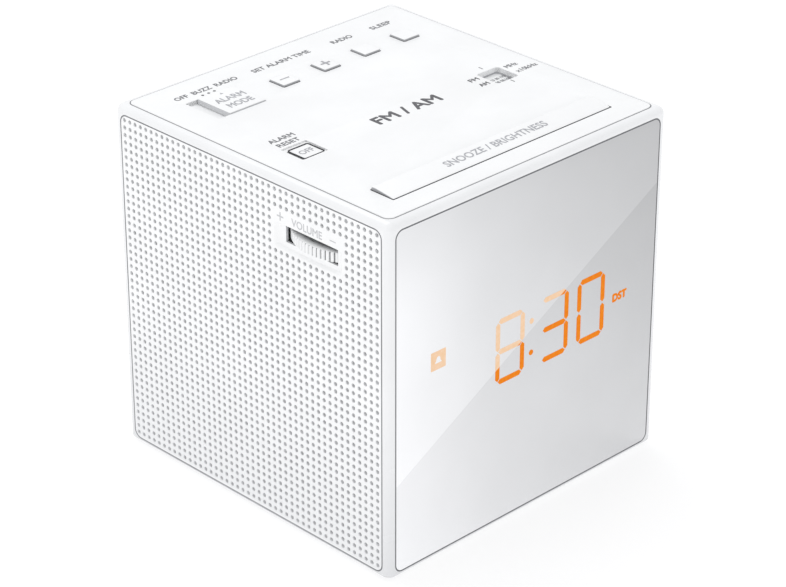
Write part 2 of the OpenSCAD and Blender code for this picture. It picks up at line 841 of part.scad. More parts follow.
module rod_clips() {
    color("#e8e6da") for (x = clip_x) difference() {
        span([x - 2, rod_y - clip_half, rod_z - clip_half], [x + 2, rod_y + clip_half, key_board_z]);
        bar_x(rod_y, rod_z, rod_r + rod_fit, x - 3, x + 3);
    }
}

// thumbwheel with a ribbed rim, its lower face on the origin
module thumbwheel(r, bore_r) {
    step = 360 / wheel_ribs / 4;
    rim = [for (i = [0:4 * wheel_ribs - 1]) let (d = i % 4 < 2 ? 0 : rib_depth)
           (r - d) * [cos(i * step), sin(i * step)]];
    difference() {
        linear_extrude(wheel_t) polygon(rim);
        translate([0, 0, -1]) cylinder(r = bore_r, h = wheel_t + 2);
    }
}

module volume_pot() {
    color("#55585c") difference() {
        translate([volume_x, volume_y, volume_z + wheel_t + 0.5])
            cylinder(r = pot_r, h = key_board_z - volume_z - wheel_t - 0.5);
        translate([volume_x, volume_y, volume_z]) cylinder(r = shaft_r + running, h = 5);
    }
}

module volume_shaft() {
    color("#c9a24a") difference() {
        translate([volume_x, volume_y, volume_z]) cylinder(r = shaft_r, h = 4.8);
        translate([volume_x, volume_y, volume_z - 1]) cylinder(r = 0.8, h = 4, $fn = THIN_FN);
    }
}

module volume_wheel() {
    color("#fafbfc") translate([volume_x, volume_y, volume_z]) thumbwheel(volume_r, shaft_r);
}

module volume_screw() {
    color("#b9bcc0") translate([volume_x, volume_y, volume_z]) {
        translate([0, 0, -1.2]) cylinder(r = 3, h = 1.2);
        cylinder(r = 0.75, h = 2.8, $fn = THIN_FN);
    }
}

module tuning_capacitor() {
    color("#dfe3e6") difference() {
        span([tuning_x - capacitor_half, tuning_y - capacitor_half, capacitor_low],
             [tuning_x + capacitor_half, tuning_y + capacitor_half, key_board_z]);
        translate([tuning_x, tuning_y, shaft_low - 0.2]) cylinder(r = tuning_shaft_r + running, h = 9);
    }
}

module tuning_shaft() {
    color("#c9a24a") translate([tuning_x, tuning_y, shaft_low])
        cylinder(r = tuning_shaft_r, h = tuning_z + wheel_t - shaft_low);
}

module tuning_wheel() {
    color("#fafbfc") translate([tuning_x, tuning_y, tuning_z]) thumbwheel(tuning_r, tuning_shaft_r);
}

module dial_lens() {
    color([0.9, 0.94, 0.97, 0.4])
        span([dial_x[0] - lens_rim + 0.1, dial_y[0] - lens_rim + 0.1, top - dial_depth - lens_t],
             [dial_x[1] + lens_rim - 0.1, dial_y[1] + lens_rim - 0.1, top - dial_depth]);
}

// square key with a retaining collar and a stem, its face at the given height
module key(x, y, w, d, face) {
    color("#fdfdfe") {
        span([x - w / 2, y - d / 2, collar_top - 0.1], [x + w / 2, y + d / 2, face]);
        span([x - w / 2 - collar, y - d / 2 - collar, collar_top - collar_t],
             [x + w / 2 + collar, y + d / 2 + collar, collar_top]);
        translate([x, y, stem_low]) cylinder(r = stem_r, h = collar_top - collar_t / 2 - stem_low);
    }
}

module minus_key() {
    key(key_x[0], key_y, key_size, key_size, top + key_rise);
}

module plus_key() {
    key(key_x[1], key_y, key_size, key_size, top + key_rise);
}

module radio_key() {
    key(key_x[2], key_y, key_size, key_size, top + key_rise);
}

module sleep_key() {
    key(key_x[3], key_y, key_size, key_size, top + key_rise);
}

module alarm_off_key() {
    key(off_x, off_y, off_w, off_d, top - off_sink);
}

module snooze_bar() {
    low = snooze_foot;
    front = snooze_front;
    back = snooze_back;
    left = snooze_x - snooze_w / 2;
    clear_x = tuning_x - tuning_r - 1.5;
    color("#fdfdfe") {
        facing_right(left) linear_extrude(snooze_w) polygon([
            [front, low], [front, top - 0.1], [front + 2.6, top + 0.35], [back - 1.2, top + snooze_rise],
            [back, top + snooze_rise - 0.25], [back, low]
        ]);
        span([left, front - collar - key_gap, low - collar_t], [left + snooze_w, front + 1, low]);
        span([left, back - 1, low - collar_t], [clear_x, back + collar + key_gap, low]);
        for (x = snooze_stems) translate([x, (front + back) / 2, stem_low])
            cylinder(r = stem_r, h = low + 0.5 - stem_low);
    }
}

module rear_board() {
    color("#2f6b3c") difference() {
        span([rear_board_x[0], rear_board_y, rear_board_z[0]],
             [rear_board_x[1], rear_board_y + board_t, rear_board_z[1]]);
        for (x = rear_post_x) bar_y(x, rear_post_z, board_hole_r, rear_board_y - 1, rear_board_y + 3);
    }
}

// round rear key with a collar behind the cover and a stem
module rear_key(x) {
    color("#fdfdfe") {
        bar_y(x, rear_key_z, rear_key_r, rear_collar_y - 0.5, hy - 0.3);
        bar_y(x, rear_key_z, rear_key_r + 1, rear_collar_y - rear_collar_t, rear_collar_y);
        bar_y(x, rear_key_z, stem_r, rear_switch_y - stem_reach, rear_collar_y - 0.4);
    }
}

module clock_key() {
    rear_key(rear_key_x[0]);
}

module zone_key() {
    rear_key(rear_key_x[1]);
}

module band_knob() {
    half = 2.5;
    color("#fdfdfe") {
        span([band_x - 2.25, rear_collar_y - 0.5, rear_key_z - half],
             [band_x + 2.25, hy - 0.3, rear_key_z + half]);
        span([band_x - 5.6, rear_collar_y - rear_collar_t, rear_key_z - half - 1.1],
             [band_x + 5.95, rear_collar_y, rear_key_z + half + 1.1]);
        span([band_x - 0.8, rear_board_y + board_t + 1.2, rear_key_z - 0.8],
             [band_x + 0.8, rear_collar_y - 0.4, rear_key_z + 0.8]);
    }
}

module battery_bay() {
    floor_z = cover_top;
    outer = bay_gap + bay_wall;
    color("#e9eaec") difference() {
        union() {
            span([tray_x[0] - outer, bay_y[0], floor_z], [tray_x[0] - bay_gap, bay_y[1], bay_top]);
            span([tray_x[1] + bay_gap, bay_y[0], floor_z], [tray_x[1] + outer, bay_y[1], bay_top]);
            span([tray_x[0] - outer, bay_y[0], bay_roof], [tray_x[1] + outer, bay_y[1], bay_top]);
            span([tray_x[1] + 1.8, 40, floor_z], [tray_screw_x + 1.9, bay_y[1], 9.4]);
        }
        bar_y(tray_screw_x, tray_screw_z, pilot_r, 39, bay_y[1] + 1);
    }
}

module battery_contacts() {
    color("#c9c3a5") for (x = [-31, -21]) span([x, 22, bay_roof - 0.7], [x + 2.4, 46, bay_roof]);
}

module battery_tray() {
    mid_x = (tray_x[0] + tray_x[1]) / 2;
    color("#d9dadc") difference() {
        union() {
            span([tray_x[0], tray_y, tray_z[0]], [tray_x[1], rear_inner + 0.1, tray_z[1]]);
            span([face_x[0], rear_inner, face_z[0]], [face_x[1], hy - 0.1, face_z[1]]);
        }
        translate([mid_x, cell_y, tray_z[0] + 1.4]) cylinder(r = cell_r + 0.2, h = 9);
        bar_y(tray_screw_x, tray_screw_z, pilot_r, rear_inner - 1, hy + 1);
        bar_y(tray_screw_x, tray_screw_z, tray_head_r + 0.05, hy - tray_head_sink, hy + 1);
    }
}

module tray_screw() {
    color("#b9bcc0") {
        bar_y(tray_screw_x, tray_screw_z, tray_head_r, hy - tray_head_sink, hy - 0.2);
        bar_y(tray_screw_x, tray_screw_z, screw_r - 0.05, 42, hy - tray_head_sink);
    }
}

module coin_cell() {
    color("#c7c9cc") translate([(tray_x[0] + tray_x[1]) / 2, cell_y, tray_z[0] + 1.42])
        cylinder(r = cell_r, h = cell_t);
}

cabinet_frame();
top_panel();
speaker_grille();
side_panel();
front_window();
rear_cover();
bottom_cover();
standoffs();
rubber_feet();
case_screws();
cord_gland();
antenna_bush();
display_mask();
segment_housing();
lit_segments();
dark_segments();
display_board();
key_board();
dome_switches();
slide_switches();
alarm_switch_slider();
main_board();
board_chips();
capacitors();
wire_headers();
inner_screws();
speaker_gasket();
speaker_basket();
speaker_cone();
speaker_dust_cap();
speaker_magnet();
transformer_core();
transformer_winding();
ferrite_rod();
antenna_coil();
rod_clips();
volume_pot();
volume_shaft();
volume_wheel();
volume_screw();
tuning_capacitor();
tuning_shaft();
tuning_wheel();
dial_lens();
alarm_mode_knob();
minus_key();
plus_key();
radio_key();
sleep_key();
alarm_off_key();
snooze_bar();
rear_board();
clock_key();
zone_key();
band_knob();
battery_bay();
battery_contacts();
battery_tray();
coin_cell();
tray_screw();
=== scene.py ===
import json
import math

import bmesh
import bpy
from mathutils import Matrix, Vector


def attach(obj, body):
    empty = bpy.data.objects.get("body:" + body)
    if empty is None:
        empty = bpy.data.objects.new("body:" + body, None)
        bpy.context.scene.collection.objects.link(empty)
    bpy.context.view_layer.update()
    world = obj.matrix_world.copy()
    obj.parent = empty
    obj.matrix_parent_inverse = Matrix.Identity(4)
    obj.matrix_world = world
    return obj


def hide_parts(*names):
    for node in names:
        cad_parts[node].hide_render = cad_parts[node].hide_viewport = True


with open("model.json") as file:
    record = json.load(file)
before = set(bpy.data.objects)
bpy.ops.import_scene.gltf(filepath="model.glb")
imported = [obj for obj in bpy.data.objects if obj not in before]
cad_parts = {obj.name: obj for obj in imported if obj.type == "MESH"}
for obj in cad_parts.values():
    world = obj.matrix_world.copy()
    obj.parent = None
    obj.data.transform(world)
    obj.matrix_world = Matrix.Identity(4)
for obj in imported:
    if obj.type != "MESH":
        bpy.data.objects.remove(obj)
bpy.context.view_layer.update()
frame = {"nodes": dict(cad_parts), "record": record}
MM = 0.001


# ---------------------------------------------------------------- camera
def make_camera():
    data = bpy.data.cameras.new("camera")
    data.sensor_width = 36.0
    data.lens = 131.515
    data.clip_start = 0.01
    data.clip_end = 50.0
    obj = bpy.data.objects.new("camera", data)
    bpy.context.scene.collection.objects.link(obj)
    azimuth, elevation, distance = math.radians(-44.451), math.radians(27.619), 0.77746
    target = Vector((0.000585, -0.000449, 0.045864))
    back = Vector((math.sin(azimuth) * math.cos(elevation), -math.cos(azimuth) * math.cos(elevation),
                   math.sin(elevation)))
    obj.location = target + distance * back
    obj.rotation_euler = (-back).to_track_quat("-Z", "Y").to_euler()
    bpy.context.scene.camera = obj


make_camera()


# ---------------------------------------------------------------- sizes, in millimetres
HX, HY, TOP, LOW = 51.0, 51.5, 102.0, 1.0
EDGE = 2.1
FOOT_EDGE = 0.55
BORDER = 2.36
CAP_BORDER = 2.25
BASE_BORDER = 2.95
SEAM = 0.3
WINDOW_GAP = 0.32
CAP_STEP = 0.12
SKIN = 1.5
WALL = 4.6
PANEL_LOW, PANEL_HIGH = 1.8, TOP - BORDER
PANEL_MID = (PANEL_LOW + PANEL_HIGH) / 2
PANEL_H = PANEL_HIGH - PANEL_LOW
PANEL_R = 2.5
PANEL_RIM = 0.12
FRONT_W = 2 * (HX - BORDER)
SIDE_W = 2 * (HY - BORDER)


# ---------------------------------------------------------------- the six faces
def face_matrix(name):
    """Local u runs to the viewer's right, v up and w out of the face; its origin is on the face plane."""
    table = {
        "top": ((1, 0, 0), (0, 1, 0), (0, 0, 1), (0, 0, TOP)),
        "bottom": ((1, 0, 0), (0, -1, 0), (0, 0, -1), (0, 0, LOW)),
        "front": ((1, 0, 0), (0, 0, 1), (0, -1, 0), (0, -HY, 0)),
        "rear": ((-1, 0, 0), (0, 0, 1), (0, 1, 0), (0, HY, 0)),
        "left": ((0, -1, 0), (0, 0, 1), (-1, 0, 0), (-HX, 0, 0)),
        "right": ((0, 1, 0), (0, 0, 1), (1, 0, 0), (HX, 0, 0)),
    }
    u, v, w, o = (Vector(p) for p in table[name])
    m = Matrix.Identity(4)
    for row in range(3):
        m[row][0], m[row][1], m[row][2], m[row][3] = u[row], v[row], w[row], o[row]
    return m


# ---------------------------------------------------------------- mesh helpers
def finish_mesh(name, bm, material, body, smooth=32, replaces=(), slot=None, place=None):
    """Turns a bmesh in millimetres into an object in metres that rides on a body."""
    bmesh.ops.recalc_face_normals(bm, faces=bm.faces)
    if place is not None:
        bm.transform(face_matrix(place) if isinstance(place, str) else place)
    bm.transform(Matrix.Scale(MM, 4))
    mesh = bpy.data.meshes.new(name)
    bm.to_mesh(mesh)
    bm.free()
    return finish_object(name, mesh, material, body, smooth, replaces, slot)


def finish_object(name, mesh, material, body, smooth=32, replaces=(), slot=None):
    mesh.shade_smooth()
    mesh.set_sharp_from_angle(angle=math.radians(smooth))
    materials = material if isinstance(material, (list, tuple)) else [material]
    for m in materials:
        mesh.materials.append(m)
    obj = bpy.data.objects.new(name, mesh)
    bpy.context.scene.collection.objects.link(obj)
    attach(obj, body)
    if replaces:
        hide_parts(*replaces)
    slot or materials[0].name
    return obj


def rect_ring(w, d, r, cx=0.0, cy=0.0, n=6):
    """Counter-clockwise points of a rounded rectangle, n + 1 for each corner."""
    r = max(min(r, w / 2 - 1e-4, d / 2 - 1e-4), 1e-3)
    points = []
    for k, (sx, sy) in enumerate(((1, 1), (-1, 1), (-1, -1), (1, -1))):
        for i in range(n + 1):
            a = math.pi / 2 * (k + i / n)
            points.append((cx + sx * (w / 2 - r) + r * math.cos(a), cy + sy * (d / 2 - r) + r * math.sin(a)))
    return points


def circle_ring(r, cx=0.0, cy=0.0, n=48):
    return [(cx + r * math.cos(2 * math.pi * i / n), cy + r * math.sin(2 * math.pi * i / n)) for i in range(n)]


def add_loft(bm, rings, closed=False):
    """Rings are lists of (x, y, z) with the same number of points; neighbours are joined by quads."""
    loops = [[bm.verts.new(p) for p in ring] for ring in rings]
    pairs = list(zip(loops, loops[1:]))
    if closed:
        pairs.append((loops[-1], loops[0]))
    for a, b in pairs:
        for i in range(len(a)):
            j = (i + 1) % len(a)
            bm.faces.new((a[i], a[j], b[j], b[i]))
    if not closed:
        bm.faces.new(list(reversed(loops[0])))
        bm.faces.new(loops[-1])


def at(points, z):
    return [(x, y, z) for x, y in points]


def rounded_prism(bm, w, d, r, low, high, cx=0.0, cy=0.0, edge=0.3, dome=0.0, n=6, steps=4, both=False):
    """Closed block with rounded upright corners, a rounded upper rim and a slightly domed top."""
    rings = []
    if both:
        for i in range(steps):
            a = math.pi / 2 * i / steps
            t = edge * (1 - math.sin(a))
            rings.append(at(rect_ring(w - 2 * t, d - 2 * t, r - t, cx, cy, n), low + edge * (1 - math.cos(a))))
    else:
        rings.append(at(rect_ring(w, d, r, cx, cy, n), low))
    for i in range(steps + 1):
        a = math.pi / 2 * i / steps
        t = edge * (1 - math.cos(a))
        rings.append(at(rect_ring(w - 2 * t, d - 2 * t, r - t, cx, cy, n), high - dome - edge * (1 - math.sin(a))))
    if dome:
        for f in (0.12, 0.26, 0.42, 0.6, 0.8, 0.95):
            t = edge + f * (min(w, d) / 2 - edge)
            z = high - dome * (1 - f * (2 - f))
            rings.append(at(rect_ring(w - 2 * t, d - 2 * t, r - t, cx, cy, n), z))
    add_loft(bm, rings)


def turned(bm, profile, n=48, place=None):
    """Closed solid of revolution around Z from (radius, height) points; a zero radius closes the end."""
    first_axis, last_axis = profile[0][0] == 0, profile[-1][0] == 0
    inner = profile[1 if first_axis else 0:len(profile) - (1 if last_axis else 0)]
    made = []
    loops = []
    for r, z in inner:
        loops.append([bm.verts.new((r * math.cos(2 * math.pi * i / n), r * math.sin(2 * math.pi * i / n), z))
                      for i in range(n)])
        made += loops[-1]
    closed = not first_axis and not last_axis
    pairs = list(zip(loops, loops[1:])) + ([(loops[-1], loops[0])] if closed else [])
    for a, b in pairs:
        for i in range(n):
            j = (i + 1) % n
            bm.faces.new((a[i], a[j], b[j], b[i]))
    for flag, loop, point in ((first_axis, loops[0], profile[0]), (last_axis, loops[-1], profile[-1])):
        if flag:
            tip = bm.verts.new((0, 0, point[1]))
            made.append(tip)
            for i in range(n):
                bm.faces.new((loop[i], loop[(i + 1) % n], tip))
    if place is not None:
        bmesh.ops.transform(bm, matrix=place, verts=made)


def curve_plate(name, outer, holes, thick, bevel=0.12, steps=2):
    """Mesh of a flat plate with holes and small rounded rims; its outer face is at local w = 0."""
    data = bpy.data.curves.new(name, "CURVE")
    data.dimensions = "2D"
    data.fill_mode = "BOTH"
    data.extrude = (thick / 2 - bevel) * MM
    data.bevel_depth = bevel * MM
    data.bevel_resolution = steps
    data.offset = -bevel * MM
    for loop in [outer] + list(holes):
        spline = data.splines.new("POLY")
        spline.points.add(len(loop) - 1)
        for p, (x, y) in zip(spline.points, loop):
            p.co = (x * MM, y * MM, 0, 1)
        spline.use_cyclic_u = True
    obj = bpy.data.objects.new(name, data)
    bpy.context.scene.collection.objects.link(obj)
    bpy.context.view_layer.update()
    mesh = bpy.data.meshes.new_from_object(obj.evaluated_get(bpy.context.evaluated_depsgraph_get()))
    bpy.data.objects.remove(obj)
    bpy.data.curves.remove(data)
    bm = bmesh.new()
    bm.from_mesh(mesh)
    bpy.data.meshes.remove(mesh)
    bmesh.ops.remove_doubles(bm, verts=bm.verts, dist=1e-7)
    bm.transform(Matrix.Scale(1 / MM, 4))
    bm.transform(Matrix.Translation((0, 0, -thick / 2)))
    return bm


def merge_mesh(bm, other):
    mesh = bpy.data.meshes.new("part")
    other.to_mesh(mesh)
    other.free()
    bm.from_mesh(mesh)
    bpy.data.meshes.remove(mesh)


# ---------------------------------------------------------------- materials
class Nodes:
    """Short notation for a node tree."""

    def __init__(self, tree):
        self.tree = tree
        self.tree.nodes.clear()

    def add(self, kind, inputs=None, **settings):
        node = self.tree.nodes.new(kind)
        for key, value in settings.items():
            setattr(node, key, value)
        for key, value in (inputs or {}).items():
            if isinstance(value, bpy.types.NodeSocket):
                self.tree.links.new(value, node.inputs[key])
            else:
                node.inputs[key].default_value = value
        return node

    def math(self, operation, a, b=None, c=None):
        inputs = {0: a}
        if b is not None:
            inputs[1] = b
        if c is not None:
            inputs[2] = c
        return self.add("ShaderNodeMath", inputs, operation=operation).outputs[0]

    def noise(self, coords, scale, detail=2.0, rough=0.5):
        node = self.add("ShaderNodeTexNoise", {"Vector": coords, "Scale": scale, "Detail": detail,
                                               "Roughness": rough})
        return node.outputs["Fac"]

    def ramp(self, value, low, high, to_low, to_high):
        return self.add("ShaderNodeMapRange", {0: value, 1: low, 2: high, 3: to_low, 4: to_high}).outputs[0]

    def mix(self, factor, a, b):
        node = self.add("ShaderNodeMix", data_type="RGBA")
        for socket, value in ((node.inputs[0], factor), (node.inputs[6], a), (node.inputs[7], b)):
            if isinstance(value, bpy.types.NodeSocket):
                self.tree.links.new(value, socket)
            else:
                socket.default_value = value if not isinstance(value, tuple) or len(value) == 4 else (*value, 1)
        return node.outputs[2]


SLOW_GRAIN, PATCH_GRAIN = 14.0, 3.1
COAT_ROUGH = 0.08


def shade(colour, factor):
    return tuple(min(1.0, c * factor) for c in colour[:3])


def plastic(name, colour, rough=0.4, grain=0.25, bump=0.12, tint=0.02, wear_and_hollow_shade=0.04, dirt=0.03, metallic=0.0,
            coat=0.0, side=None, sheen=0.0, streak=None, low=None):
    """Moulded or machined surface: fine grain, slow tone changes, rubbed rims, hollows darkened with painted shade,
    and optional painted shade on upright faces and towards the bottom.
    """
    material = bpy.data.materials.new(name)
    material.use_nodes = True
    n = Nodes(material.node_tree)
    coords = n.add("ShaderNodeTexCoord").outputs["Object"]
    geometry = n.add("ShaderNodeNewGeometry")
    if streak is not None:
        coords = n.add("ShaderNodeMapping", {"Vector": coords, "Scale": streak}).outputs[0]
    fine = n.noise(coords, 1 / (grain * MM), 3.0, 0.6)
    slow = n.noise(coords, 1 / (SLOW_GRAIN * MM), 2.0, 0.5)
    patch = n.noise(coords, 1 / (PATCH_GRAIN * MM), 3.0, 0.55)
    tone = n.mix(n.ramp(slow, 0.3, 0.7, 0.0, 1.0), shade(colour, 1 - tint), shade(colour, 1 + tint * 0.6))
    # side: painted shade, a darker colour on faces that do not point up
    if side is not None:
        up = n.add("ShaderNodeSeparateXYZ", {0: geometry.outputs["Normal"]}).outputs[2]
        tone = n.mix(n.ramp(up, 0.35, 0.8, 0.0, 1.0), side, tone)
    # low: painted shade, a darker colour towards the bottom, where the floor shades the sides
    if low is not None:
        height = n.add("ShaderNodeSeparateXYZ", {0: coords}).outputs[2]
        tone = n.mix(n.ramp(height, 0.002, 0.05, 1.0, 0.0), tone, low)
    speck = n.ramp(patch, 0.35, 0.75, 0.0, dirt)
    tone = n.mix(speck, tone, shade(colour, 0.72))
    # convex rims are lightened as wear; hollows are darkened as painted shade
    rim = n.ramp(geometry.outputs["Pointiness"], 0.515, 0.58, 0.0, wear_and_hollow_shade)
    hollow = n.ramp(geometry.outputs["Pointiness"], 0.485, 0.42, 0.0, wear_and_hollow_shade * 1.5)
    tone = n.mix(rim, tone, shade(colour, 1.12) if metallic < 0.5 else (0.95, 0.95, 0.95))
    tone = n.mix(hollow, tone, shade(colour, 0.6))
    roughness = n.ramp(n.math("ADD", n.math("MULTIPLY", slow, 0.6), n.math("MULTIPLY", patch, 0.4)),
                       0.3, 0.7, max(rough - 0.06, 0.02), min(rough + 0.06, 1.0))
    normal = n.add("ShaderNodeBump", {"Strength": bump, "Distance": 0.04 * MM, "Height": fine}).outputs[0]
    shader = n.add("ShaderNodeBsdfPrincipled", {"Base Color": tone, "Roughness": roughness, "Normal": normal})
    shader.inputs["Metallic"].default_value = metallic
    shader.inputs["Specular IOR Level"].default_value = 0.5
    if coat:
        shader.inputs["Coat Weight"].default_value = coat
        shader.inputs["Coat Roughness"].default_value = COAT_ROUGH
    if sheen:
        shader.inputs["Sheen Weight"].default_value = sheen
    out = n.add("ShaderNodeOutputMaterial", {"Surface": shader.outputs[0]})
    out.target = "ALL"
    return material


def srgb(r, g, b):
    levels = (r / 255, g / 255, b / 255)
    return tuple((c / 12.92 if c <= 0.04045 else ((c + 0.055) / 1.055) ** 2.4) for c in levels)


for imported in list(bpy.data.materials):
    imported.name = "cad_" + imported.name
PLASTICS = {
    # low: painted shade, darker towards the bottom of the cabinet
    "cabinet_white": dict(colour=(0.90, 0.905, 0.915), rough=0.24, grain=0.6, bump=0.04, coat=0.25,
                          low=(0.77, 0.775, 0.79)),
    "panel_white": dict(colour=(0.93, 0.935, 0.94), rough=0.42, grain=0.22, bump=0.10),
    # low: painted shade, darker towards the bottom of the grille
    "grille_white": dict(colour=(0.965, 0.968, 0.972), rough=0.45, grain=0.25, bump=0.10,
                         low=(0.86, 0.865, 0.875)),
    "base_white": dict(colour=(0.84, 0.842, 0.85), rough=0.55, grain=0.35, bump=0.3, dirt=0.08),
    # side: painted shade on the upright faces of the keys
    "key_white": dict(colour=(0.93, 0.935, 0.94), rough=0.38, grain=0.3, bump=0.06, side=(0.36, 0.365, 0.38)),
    # a strong hollow setting here paints shade into the valleys between the ribs
    "wheel_white": dict(colour=(0.92, 0.925, 0.93), rough=0.36, grain=0.3, bump=0.08, wear_and_hollow_shade=0.3),
    # side: painted shade on the upright walls of the pockets
    "pocket_white": dict(colour=(0.92, 0.925, 0.93), rough=0.5, grain=0.3, bump=0.1, side=(0.44, 0.445, 0.46)),
    # side: painted shade on the upright faces of the knob
    "knob_white": dict(colour=(0.93, 0.935, 0.94), rough=0.38, grain=0.3, bump=0.06, side=(0.58, 0.585, 0.6)),
    # painted shade: the darker walls inside the grille's holes
    "bore_painted_shade": dict(colour=(0.8, 0.805, 0.815), rough=0.55, grain=0.3, bump=0.1),
    # painted shade: the darker walls of the slots the wheels turn in
    "slot_wall_painted_shade": dict(colour=(0.66, 0.665, 0.68), rough=0.5, grain=0.4, bump=0.1),
    # gap_pale, gap_slate, gap_dark and gap_grey: painted shade that lines the seams
    "gap_pale": dict(colour=(0.25, 0.253, 0.265), rough=0.6, grain=0.5, bump=0.1),
    "gap_slate": dict(colour=(0.13, 0.132, 0.142), rough=0.6, grain=0.5, bump=0.1),
    "print_faint": dict(colour=(0.6, 0.605, 0.62), rough=0.5, grain=0.5, bump=0.1),
    # painted shade: the dark valleys between a thumbwheel's ribs
    "groove_painted_shade": dict(colour=(0.17, 0.172, 0.182), rough=0.5, grain=0.3, bump=0.1),
    "gap_dark": dict(colour=(0.045, 0.045, 0.05), rough=0.9, grain=0.4, bump=0.2, tint=0.2),
    "gap_grey": dict(colour=(0.22, 0.222, 0.235), rough=0.9, grain=0.4, bump=0.2, tint=0.2),
    "housing_white": dict(colour=(0.8, 0.79, 0.76), rough=0.42, dirt=0.08),
    "rubber_grey": dict(colour=(0.06, 0.06, 0.063), rough=0.8, grain=0.5, bump=0.35, tint=0.2, dirt=0.2,
                        wear_and_hollow_shade=0.1, sheen=0.2),
    "gland_rubber": dict(colour=(0.07, 0.07, 0.075), rough=0.7, grain=0.4, bump=0.25, tint=0.15),
    "mask_dark": dict(colour=(0.03, 0.03, 0.033), rough=0.6, tint=0.2),
    "component_black": dict(colour=(0.035, 0.035, 0.037), rough=0.45, grain=0.3, bump=0.2, tint=0.2),
    "capacitor_blue": dict(colour=(0.05, 0.09, 0.3), rough=0.3, coat=0.3, tint=0.1),
    "cone_paper": dict(colour=(0.05, 0.048, 0.045), rough=0.85, grain=0.8, bump=0.6, tint=0.25, dirt=0.2),
    "magnet_grey": dict(colour=(0.09, 0.09, 0.095), rough=0.55, grain=0.3, bump=0.3, tint=0.12),
    "core_iron": dict(colour=(0.22, 0.21, 0.2), rough=0.5, metallic=0.7, grain=0.9, bump=0.3,
                      streak=(0.3, 3.0, 0.3)),
    "winding_tape": dict(colour=(0.72, 0.47, 0.08), rough=0.3, coat=0.3, tint=0.08),
    "winding_copper": dict(colour=(0.55, 0.22, 0.08), rough=0.3, metallic=0.8, grain=0.5, bump=0.5,
                           streak=(8.0, 0.5, 0.5)),
    "screw_steel": dict(colour=(0.6, 0.61, 0.63), rough=0.3, metallic=1.0, grain=0.3, bump=0.15, tint=0.1,
                        wear_and_hollow_shade=0.3),
    "cell_steel": dict(colour=(0.7, 0.71, 0.72), rough=0.24, metallic=1.0, grain=0.3, bump=0.12, tint=0.06,
                       streak=(6.0, 0.4, 1.0)),
    "shaft_brass": dict(colour=(0.68, 0.5, 0.2), rough=0.3, metallic=1.0, grain=0.3, bump=0.2, tint=0.1),
    "print_dark": dict(colour=(0.11, 0.11, 0.12), rough=0.5, tint=0.15, bump=0.03),
    "print_grey": dict(colour=(0.17, 0.172, 0.185), rough=0.5, tint=0.1, bump=0.03),
    "print_pale": dict(colour=(0.42, 0.425, 0.45), rough=0.5, tint=0.08, bump=0.03),
}
mat = {name: plastic(name, **look) for name, look in PLASTICS.items()}


def board_material():
    """Green solder resist with copper tracks showing through as paler bands."""
    material = bpy.data.materials.new("board_green")
    material.use_nodes = True
    n = Nodes(material.node_tree)
    coords = n.add("ShaderNodeTexCoord").outputs["Object"]
    cells = n.add("ShaderNodeTexVoronoi", {"Vector": coords, "Scale": 1 / (5 * MM)}, feature="DISTANCE_TO_EDGE")
    tracks = n.ramp(cells.outputs["Distance"], 0.05, 0.09, 0.35, 0.0)
    grain = n.noise(coords, 1 / (0.5 * MM), 3.0)
    slow = n.noise(coords, 1 / (11 * MM), 2.0)
    tone = n.mix(n.ramp(slow, 0.3, 0.7, 0.0, 1.0), (0.03, 0.16, 0.06), (0.045, 0.21, 0.08))
    tone = n.mix(tracks, tone, (0.16, 0.42, 0.14))
    normal = n.add("ShaderNodeBump", {"Strength": 0.3, "Distance": 0.05 * MM,
                                      "Height": n.math("ADD", grain, n.math("MULTIPLY", tracks, 3.0))}).outputs[0]
    rough = n.ramp(grain, 0.3, 0.7, 0.25, 0.4)
    shader = n.add("ShaderNodeBsdfPrincipled", {"Base Color": tone, "Roughness": rough, "Normal": normal})
    n.add("ShaderNodeOutputMaterial", {"Surface": shader.outputs[0]})
    return material


mat["board_green"] = board_material()

# the edge of the painted reflection's pale band on the display, from (x, z) to (x, z)
REFLECTION_EDGE_FROM = (-48.6, 27.4)
REFLECTION_EDGE_TO = (48.9, 81.1)
GLASS_MID_Z = 50.7
GLASS_HALF = 48.7


def painted_reflection_mask(n, x, z, soft=0.12):
    """One above the sloping edge of the painted reflection's pale band on the display and nought below it."""
    slope = (REFLECTION_EDGE_TO[1] - REFLECTION_EDGE_FROM[1]) / (REFLECTION_EDGE_TO[0] - REFLECTION_EDGE_FROM[0])
    offset = REFLECTION_EDGE_FROM[1] - slope * REFLECTION_EDGE_FROM[0]
    height = n.math("SUBTRACT", z, n.math("MULTIPLY_ADD", x, slope, offset * MM))
    return n.ramp(height, -soft * MM, soft * MM, 0.0, 1.0)


